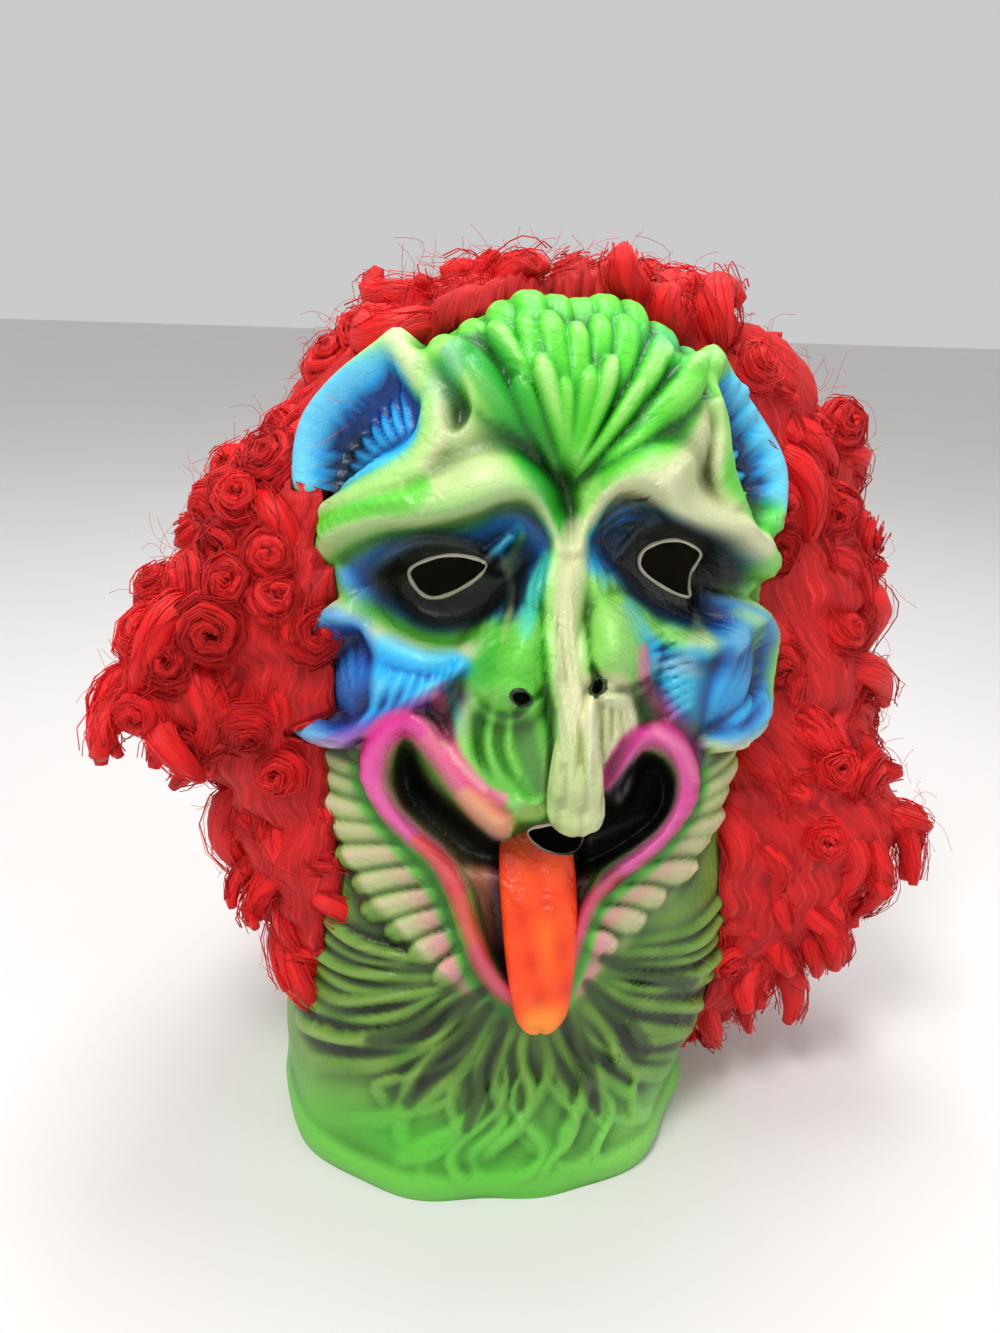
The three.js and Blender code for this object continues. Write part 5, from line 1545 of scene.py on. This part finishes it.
def make_core(material):
    """The mass under the locks: a closed cushion that lies on the latex."""
    columns, rows = CORE_GRID
    u = np.linspace(-math.pi, math.pi, columns, endpoint=False) * MAP_RADIUS
    u, w = np.meshgrid(u, np.linspace(24, 441, rows))
    height = carve(Chart(u, w)).reshape(u.shape)
    lump = np.sin(u * 0.33 + 2 * np.sin(w * 0.08)) * np.sin(w * 0.27 + 2 * np.sin(u * 0.1))
    depth = hair_depth(u, w) * 0.95 - 4 + 2.2 * lump
    stands = (depth > np.maximum(height, 0) + CORE_LEAST).ravel()
    _, out = relief_way(u, w)
    inner = (carved(u, w, height) + out * CORE_CLEAR).reshape(-1, 3)
    outer = place(u, w, head_radius(u, w) + depth).reshape(-1, 3)
    index = np.arange(u.size)
    over = np.where(stands, index + u.size, index)
    quads = ring_quads(rows, columns)
    quads = quads[stands[quads].any(1)]
    crown = index[-columns:]
    points = np.vstack([inner, outer, outer[crown].mean(0), inner[crown].mean(0)])
    faces = np.concatenate([
        split(over[quads]), split(quads[:, ::-1]),
        fan(len(points) - 2, over[crown]), fan(len(points) - 1, crown)[:, [0, 2, 1]],
    ])
    used, faces = np.unique(faces, return_inverse=True)
    faces = faces.reshape(-1, 3)
    a, b, c = faces.T
    faces = faces[(a != b) & (b != c) & (a != c)]
    lay = np.column_stack([w.ravel(), u.ravel()]) / 40
    fibre = np.vstack([lay, lay, np.zeros((2, 2))])
    return make_object("wig_core", points[used], faces, material, fibre=fibre[used])


def hair_spots(style, luck):
    """Where locks grow: their roots, the way out there, whether they are in front, and u and w."""
    u = np.linspace(-math.pi, math.pi, 210, endpoint=False) * MAP_RADIUS
    u, w = np.meshgrid(u, np.linspace(30, 438, 136))
    depth = hair_depth(u, w)
    points = place(u, w, head_radius(u, w) + depth)
    across = np.roll(points, -1, 1) - np.roll(points, 1, 1)
    normal = unit(np.cross(across, np.gradient(points, axis=0)), 1e-12)
    grown = depth > 6
    points, normal, u, w = points[grown], normal[grown], u[grown], w[grown]
    front = (np.abs(u) < 165) | (w > 400)
    gap = np.where(front, style.front_gap, style.back_gap)
    chosen = []
    for k in luck.permutation(len(points)):
        if chosen and (np.linalg.norm(points[chosen] - points[k], axis=1) < gap[k]).any():
            continue
        chosen.append(k)
    return points[chosen], normal[chosen], front[chosen], u[chosen], w[chosen]


def frames(path):
    """Two rows of unit vectors across a path, without twist."""
    along = unit(np.gradient(path, axis=0), 1e-12)
    across = [unit(np.cross(along[0], [0.3, 0.2, 0.9]), 0)]
    for t in along[1:]:
        across.append(unit(across[-1] - t * (across[-1] @ t), 1e-12))
    across = np.array(across)
    return across, np.cross(along, across)


def around(turn, a, b):
    """The way out at each turn round a path, from its frames."""
    return np.cos(turn) * a + np.sin(turn) * b


def strand_tube(path, radius, sides, rough=0.0, twist=0.0, phase=0.0):
    """A tube round a path, uneven like a bundle of strands: points, triangles and fibre map."""
    a, b = frames(path)
    angle = np.linspace(0, 2 * math.pi, sides, endpoint=False)
    t = np.linspace(0, 1, len(path))[:, None]
    r = radius[:, None] * np.ones(sides)
    if rough:
        turned = angle + twist * t
        bumps = np.cos(3 * turned + phase + 2 * t) + np.cos(5 * turned - 1.7 * phase + 5 * t)
        r = r * (1 - rough + rough * 0.5 * bumps)
    rings = path[:, None] + r[..., None] * around(angle[:, None], a[:, None], b[:, None])
    points, faces = tube(rings)
    steps = np.linalg.norm(np.diff(path, axis=0), axis=1)
    length = np.concatenate([[0], np.cumsum(steps)])[:, None] / FIBRE_LENGTH + 5 * phase
    across = np.abs(angle / math.pi - 1) + phase + 0.1 * twist * t
    lay = np.stack(np.broadcast_arrays(length, across), -1).reshape(-1, 2)
    return points, faces, np.vstack([lay, lay[:1], lay[-1:]])


class Bundle:
    """Tubes gathered into one mesh."""

    def __init__(self):
        self.parts, self.count = [], 0

    def add(self, points, faces, fibre):
        self.parts.append((points, faces + self.count, fibre))
        self.count += len(points)

    def make(self, name, material):
        points, faces, fibre = (np.concatenate(rows) for rows in zip(*self.parts))
        return make_object(name, points, faces, material, fibre=fibre)


def puff_path(root, normal, high, side, luck, steps, longer=1.0):
    """A fat lock's line: it leaves the mass, swings aside and hangs; on the crown it stands up."""
    down = unit(np.array([0, 0, -1.0]) + normal * normal[2])
    across = np.cross(normal, down)
    if high:
        up = np.array([side * 0.7, -0.1, 0.35])
        way = normal * 0.8 + up + across * luck.normal(0, 0.35)
    else:
        way = down * luck.uniform(0.5, 1.1) + normal * luck.uniform(0.05, 0.5)
        way = way + across * luck.normal(0, 0.5)
    way = unit(way)
    swing = unit(np.cross(way, luck.normal(0, 1, 3)))
    size = luck.uniform(0.004, 0.010)
    length = luck.uniform(0.026, 0.046) * (0.75 if high else longer)
    t = np.linspace(0, 1, steps)[:, None]
    turn = luck.uniform(3, 6.5) * t + luck.uniform(0, 6)
    line = root + way * length * (t - 0.3)
    line = line + size * around(turn, unit(np.cross(way, swing)), swing)
    return line + np.array([0, 0, -0.014]) * t**2 * (0.3 if high else 1)


def ringlet_path(root, normal, luck, steps):
    """The line of a thin lock rolled up flat, seen from its end."""
    axis = unit(normal + luck.normal(0, 0.35, 3) + np.array([0, -0.5, 0]))
    a = unit(np.cross(axis, luck.normal(0, 1, 3)))
    t = np.linspace(0, 1, steps)[:, None]
    turn = luck.choice([-1, 1]) * 2 * math.pi * luck.uniform(2.0, 2.9) * t
    size = luck.uniform(0.010, 0.015) * (1 - 0.85 * t) + 0.0006 * np.sin(5 * turn)
    line = root + normal * 0.003 + axis * 0.010 * (t - 0.3)
    return line + size * around(turn, a, np.cross(axis, a))


WIG_BOX = np.array(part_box("hair_wig"))


def keep_in(points, spare=0.009):
    """Points held within the wig's box and a little more."""
    return np.clip(points, WIG_BOX[0] - spare, WIG_BOX[1] + spare)


def off_face(path):
    """Whether a lock keeps clear of the face and, beside them, of the ears."""
    x, y, z = (path / MM).T
    u = MAP_RADIUS * np.arctan2(x - FACE_CENTRE[0], FACE_CENTRE[1] - y)
    edge = hair_edge(u, z) + np.where(u < 0, 2, 9)
    beside_ear = np.maximum(edge, np.where(u < 0, *EAR_ENDS))
    edge = np.where((z > 296) & (z < 372), beside_ear, edge)
    return ((np.abs(u) < edge) & (z < 392)).mean() < 0.02


def loose_strand(path, a, b, thick, t, luck):
    """A thin strand that winds round a lock and strays from it towards its end."""
    turn = luck.uniform(0, 2 * math.pi) + luck.uniform(-3.5, 3.5) * t
    off = np.maximum(thick, 0.002) * luck.uniform(0.9, 1.25) + 0.004 * luck.random() ** 2 * t
    line = path + off[:, None] * around(turn[:, None], a, b)
    wave = luck.uniform(9, 22) * t + luck.uniform(0, 6)
    line = line + luck.uniform(0.0003, 0.0014) * around(wave[:, None], b, a)
    line = keep_in(line[::2])
    return strand_tube(line, np.full(len(line), luck.uniform(0.00018, 0.0004)), 3)


def make_locks(style, material):
    """Fat locks, rolled ringlets and the loose strands round them."""
    luck = np.random.default_rng(style.seed)
    groups = {name: Bundle() for name in ("left", "right", "crown", "back")}
    loose = {name: Bundle() for name in ("left", "right", "back")}
    for root, normal, front, u, w in zip(*hair_spots(style, luck)):
        side = "back" if not front else "left" if u < 0 else "right"
        curly = 0.42 if u < 0 and 190 < w < 345 else 0.16 if front else 0.1
        rolled = luck.random() < curly
        root = root - normal * (0.006 if rolled else 0.013)
        if rolled:
            steps, sides = (44, 9) if front else (30, 7)
        else:
            steps, sides = (22, 16) if front else (16, 10)
        for _ in range(TRIES):
            if rolled:
                path = ringlet_path(root, normal, luck, steps)
            else:
                longer = 1 if front else 1.5
                path = puff_path(root, normal, w > 372, np.sign(u), luck, steps, longer)
            path = keep_in(path)
            if off_face(path):
                break
        else:
            continue
        t = np.linspace(0, 1, steps)
        if rolled:
            thick = style.thin * luck.uniform(0.8, 1.2) * (0.5 + 0.5 * np.sin(math.pi * t) ** 0.5)
        else:
            thick = style.thick * (1 if front else 0.85) * luck.uniform(0.65, 1.15)
            thick = thick * np.sin(math.pi * np.clip(0.05 + 0.9 * t, 0, 1)) ** 0.55
        rough, twist, phase = 0.1 if front else 0.25, luck.uniform(-2, 2), luck.uniform(0, 6)
        lock = strand_tube(path, thick, sides, rough, twist, phase)
        groups["crown" if w > 385 else side].add(*lock)
        a, b = frames(path)
        for _ in range(style.strands if front else style.strands * 3 // 5):
            loose[side].add(*loose_strand(path, a, b, thick, t, luck))
    return [
        bundle.make(f"wig_{kind}_{name}", material)
        for kind, bundles in (("locks", groups), ("strands", loose))
        for name, bundle in bundles.items()
    ]


def make_flyaways(style, material):
    """Single fibres that stand off the mass all round."""
    luck = np.random.default_rng(style.seed + 1)
    count, steps = style.flyaways, 11
    u = np.where(luck.random(count) < 0.5, -1, 1) * luck.uniform(92, 300, count)
    w = luck.uniform(60, 440, count)
    radius, depth = head_radius(u, w), hair_depth(u, w)
    roots, ends = (place(u, w, radius + depth + off) for off in (-12, 6))
    t = np.linspace(0, 1, steps)[:, None]
    bundle = Bundle()
    for root, end in zip(roots[depth > 4], ends[depth > 4]):
        way = unit(unit(end - root, 0) + luck.normal(0, 0.7, 3), 0)
        bend = unit(np.cross(way, luck.normal(0, 1, 3)))
        size = luck.uniform(0.003, 0.010)
        turn = luck.uniform(3, 9) * t + luck.uniform(0, 6)
        reach = luck.uniform(0.008, 0.03)
        other = np.cross(way, bend)
        curl = around(turn, other, bend)
        line = root + way * reach * t + size * (curl - curl[0])
        bundle.add(*strand_tube(keep_in(line, 0.012), np.full(steps, FLYAWAY_THICK), 3))
    return bundle.make("wig_flyaways", material)


# Operators

class CLOWN_OT_mask(bpy.types.Operator):
    """Build the painted latex mask"""

    bl_idname = "clown.mask"
    bl_label = "Latex mask"

    def execute(self, context):
        mask = make_mask(context.scene.clown_paint)
        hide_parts("latex_mask")
        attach(mask, "root")
        return {"FINISHED"}


class CLOWN_OT_wig(bpy.types.Operator):
    """Build the wig: its mass, its locks and its loose fibres"""

    bl_idname = "clown.wig"
    bl_label = "Curly wig"

    def execute(self, context):
        style = context.scene.clown_hair
        # The mass under the locks gets a darker, rougher copy of the hair as painted shade
        shaded_hair = hair_look("Wig shaded hair", darker(style.red, 0.86), darker(style.dark, 0.72), 0.5)
        hair = hair_look("Wig hair", style.red, style.dark, 0.3)
        core = make_core(shaded_hair)
        pieces = [core, *make_locks(style, hair), make_flyaways(style, hair)]
        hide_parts("hair_wig")
        for piece in pieces:
            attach(piece, "root")
        return {"FINISHED"}


LAMPS = (
    # name, place, power, size
    ("key lamp", (-0.6, -0.8, 1.7), 23, 0.5),
    ("fill lamp", (1.3, -0.9, 1.0), 4, 1.0),
    ("top lamp", (0.1, 0.3, 1.5), 9, 0.6),
)
LAMPS_TOWARDS = Vector((0, 0, 0.2))
FLOOR = 8.0
# Where the camera stands, and its turn, pitch and roll in degrees
CAMERA = (FACE_CENTRE[0] - 87.9, FACE_CENTRE[1] - 446.5, 394)
CAMERA_ANGLES = (10.0, 20.4, 2.25)


def into_scene(name, data):
    """Puts a lamp or a camera into the scene."""
    holder = bpy.data.objects.new(name, data)
    bpy.context.scene.collection.objects.link(holder)
    return holder


class CLOWN_OT_stage(bpy.types.Operator):
    """Set the floor, the lamps and the camera"""

    bl_idname = "clown.stage"
    bl_label = "Stage"

    def execute(self, context):
        setting = context.scene.clown_stage
        look = Look("Pale floor", Roughness=0.7)
        cloud = look.noise(3.0, 2.0, look.here())
        tones = rgba(setting.floor), rgba(darker(setting.floor, 0.97))
        look.set("Base Color", look.mix(cloud, *tones))
        corners = [(x * FLOOR, y * FLOOR, 0) for x, y in ((-1, -1), (1, -1), (1, 1), (-1, 1))]
        floor = make_object("floor", corners, [(0, 1, 2, 3)], look.material)
        world = bpy.data.worlds.new("Pale room")
        world.use_nodes = True
        light = world.node_tree.nodes["Background"].inputs
        light[0].default_value = (0.9, 0.9, 0.91, 1)
        light[1].default_value = 0.66 * setting.lamps
        context.scene.world = world
        for name, spot, power, size in LAMPS:
            lamp = bpy.data.lights.new(name, "AREA")
            lamp.energy = power * setting.lamps
            lamp.size = size
            holder = into_scene(name, lamp)
            holder.location = spot
            aim = (LAMPS_TOWARDS - Vector(spot)).to_track_quat("-Z", "Y")
            holder.rotation_euler = aim.to_euler()
        camera = bpy.data.cameras.new("camera")
        camera.lens = setting.lens
        camera.sensor_width = 36
        camera.clip_start = 0.01
        turn, pitch, roll = (math.radians(a) for a in CAMERA_ANGLES)
        level = math.cos(pitch)
        right = Vector((math.cos(turn), -math.sin(turn), 0))
        ahead = Vector((math.sin(turn) * level, math.cos(turn) * level, -math.sin(pitch)))
        stand = Matrix((right, right.cross(ahead), -ahead)).transposed()
        stand = stand @ Matrix.Rotation(roll, 3, "Z")
        holder = into_scene("camera", camera)
        holder.matrix_world = Matrix.Translation([c * MM for c in CAMERA]) @ stand.to_4x4()
        context.scene.camera = holder
        context.scene.view_settings.view_transform = "Standard"
        return {"FINISHED"}


SETTINGS = (
    # where the scene keeps them, their group, and the operator that reads them
    ("clown_paint", MaskPaint, "clown.mask"),
    ("clown_hair", HairStyle, "clown.wig"),
    ("clown_stage", StageSetting, "clown.stage"),
)


class CLOWN_PT_panel(bpy.types.Panel):
    """Shows the buttons that build the mask, the wig and the stage, with their settings"""

    bl_idname = "CLOWN_PT_panel"
    bl_label = "Clown Mask"
    bl_space_type = "VIEW_3D"
    bl_region_type = "UI"
    bl_category = "Clown Mask"

    def draw(self, context):
        for name, _, operator in SETTINGS:
            box = self.layout.box()
            box.operator(operator)
            group = getattr(context.scene, name)
            for setting in group.__annotations__:
                box.prop(group, setting)


CLASSES = (
    MaskPaint, HairStyle, StageSetting, CLOWN_OT_mask, CLOWN_OT_wig, CLOWN_OT_stage,
    CLOWN_PT_panel,
)


def register():
    for cls in CLASSES:
        bpy.utils.register_class(cls)
    for name, group, _ in SETTINGS:
        setattr(bpy.types.Scene, name, bpy.props.PointerProperty(type=group))


def unregister():
    for name, _, _ in SETTINGS:
        delattr(bpy.types.Scene, name)
    for cls in reversed(CLASSES):
        bpy.utils.unregister_class(cls)


def main():
    register()
    bpy.ops.clown.stage()
    bpy.ops.clown.mask()
    bpy.ops.clown.wig()


if __name__ == "__main__":
    main()
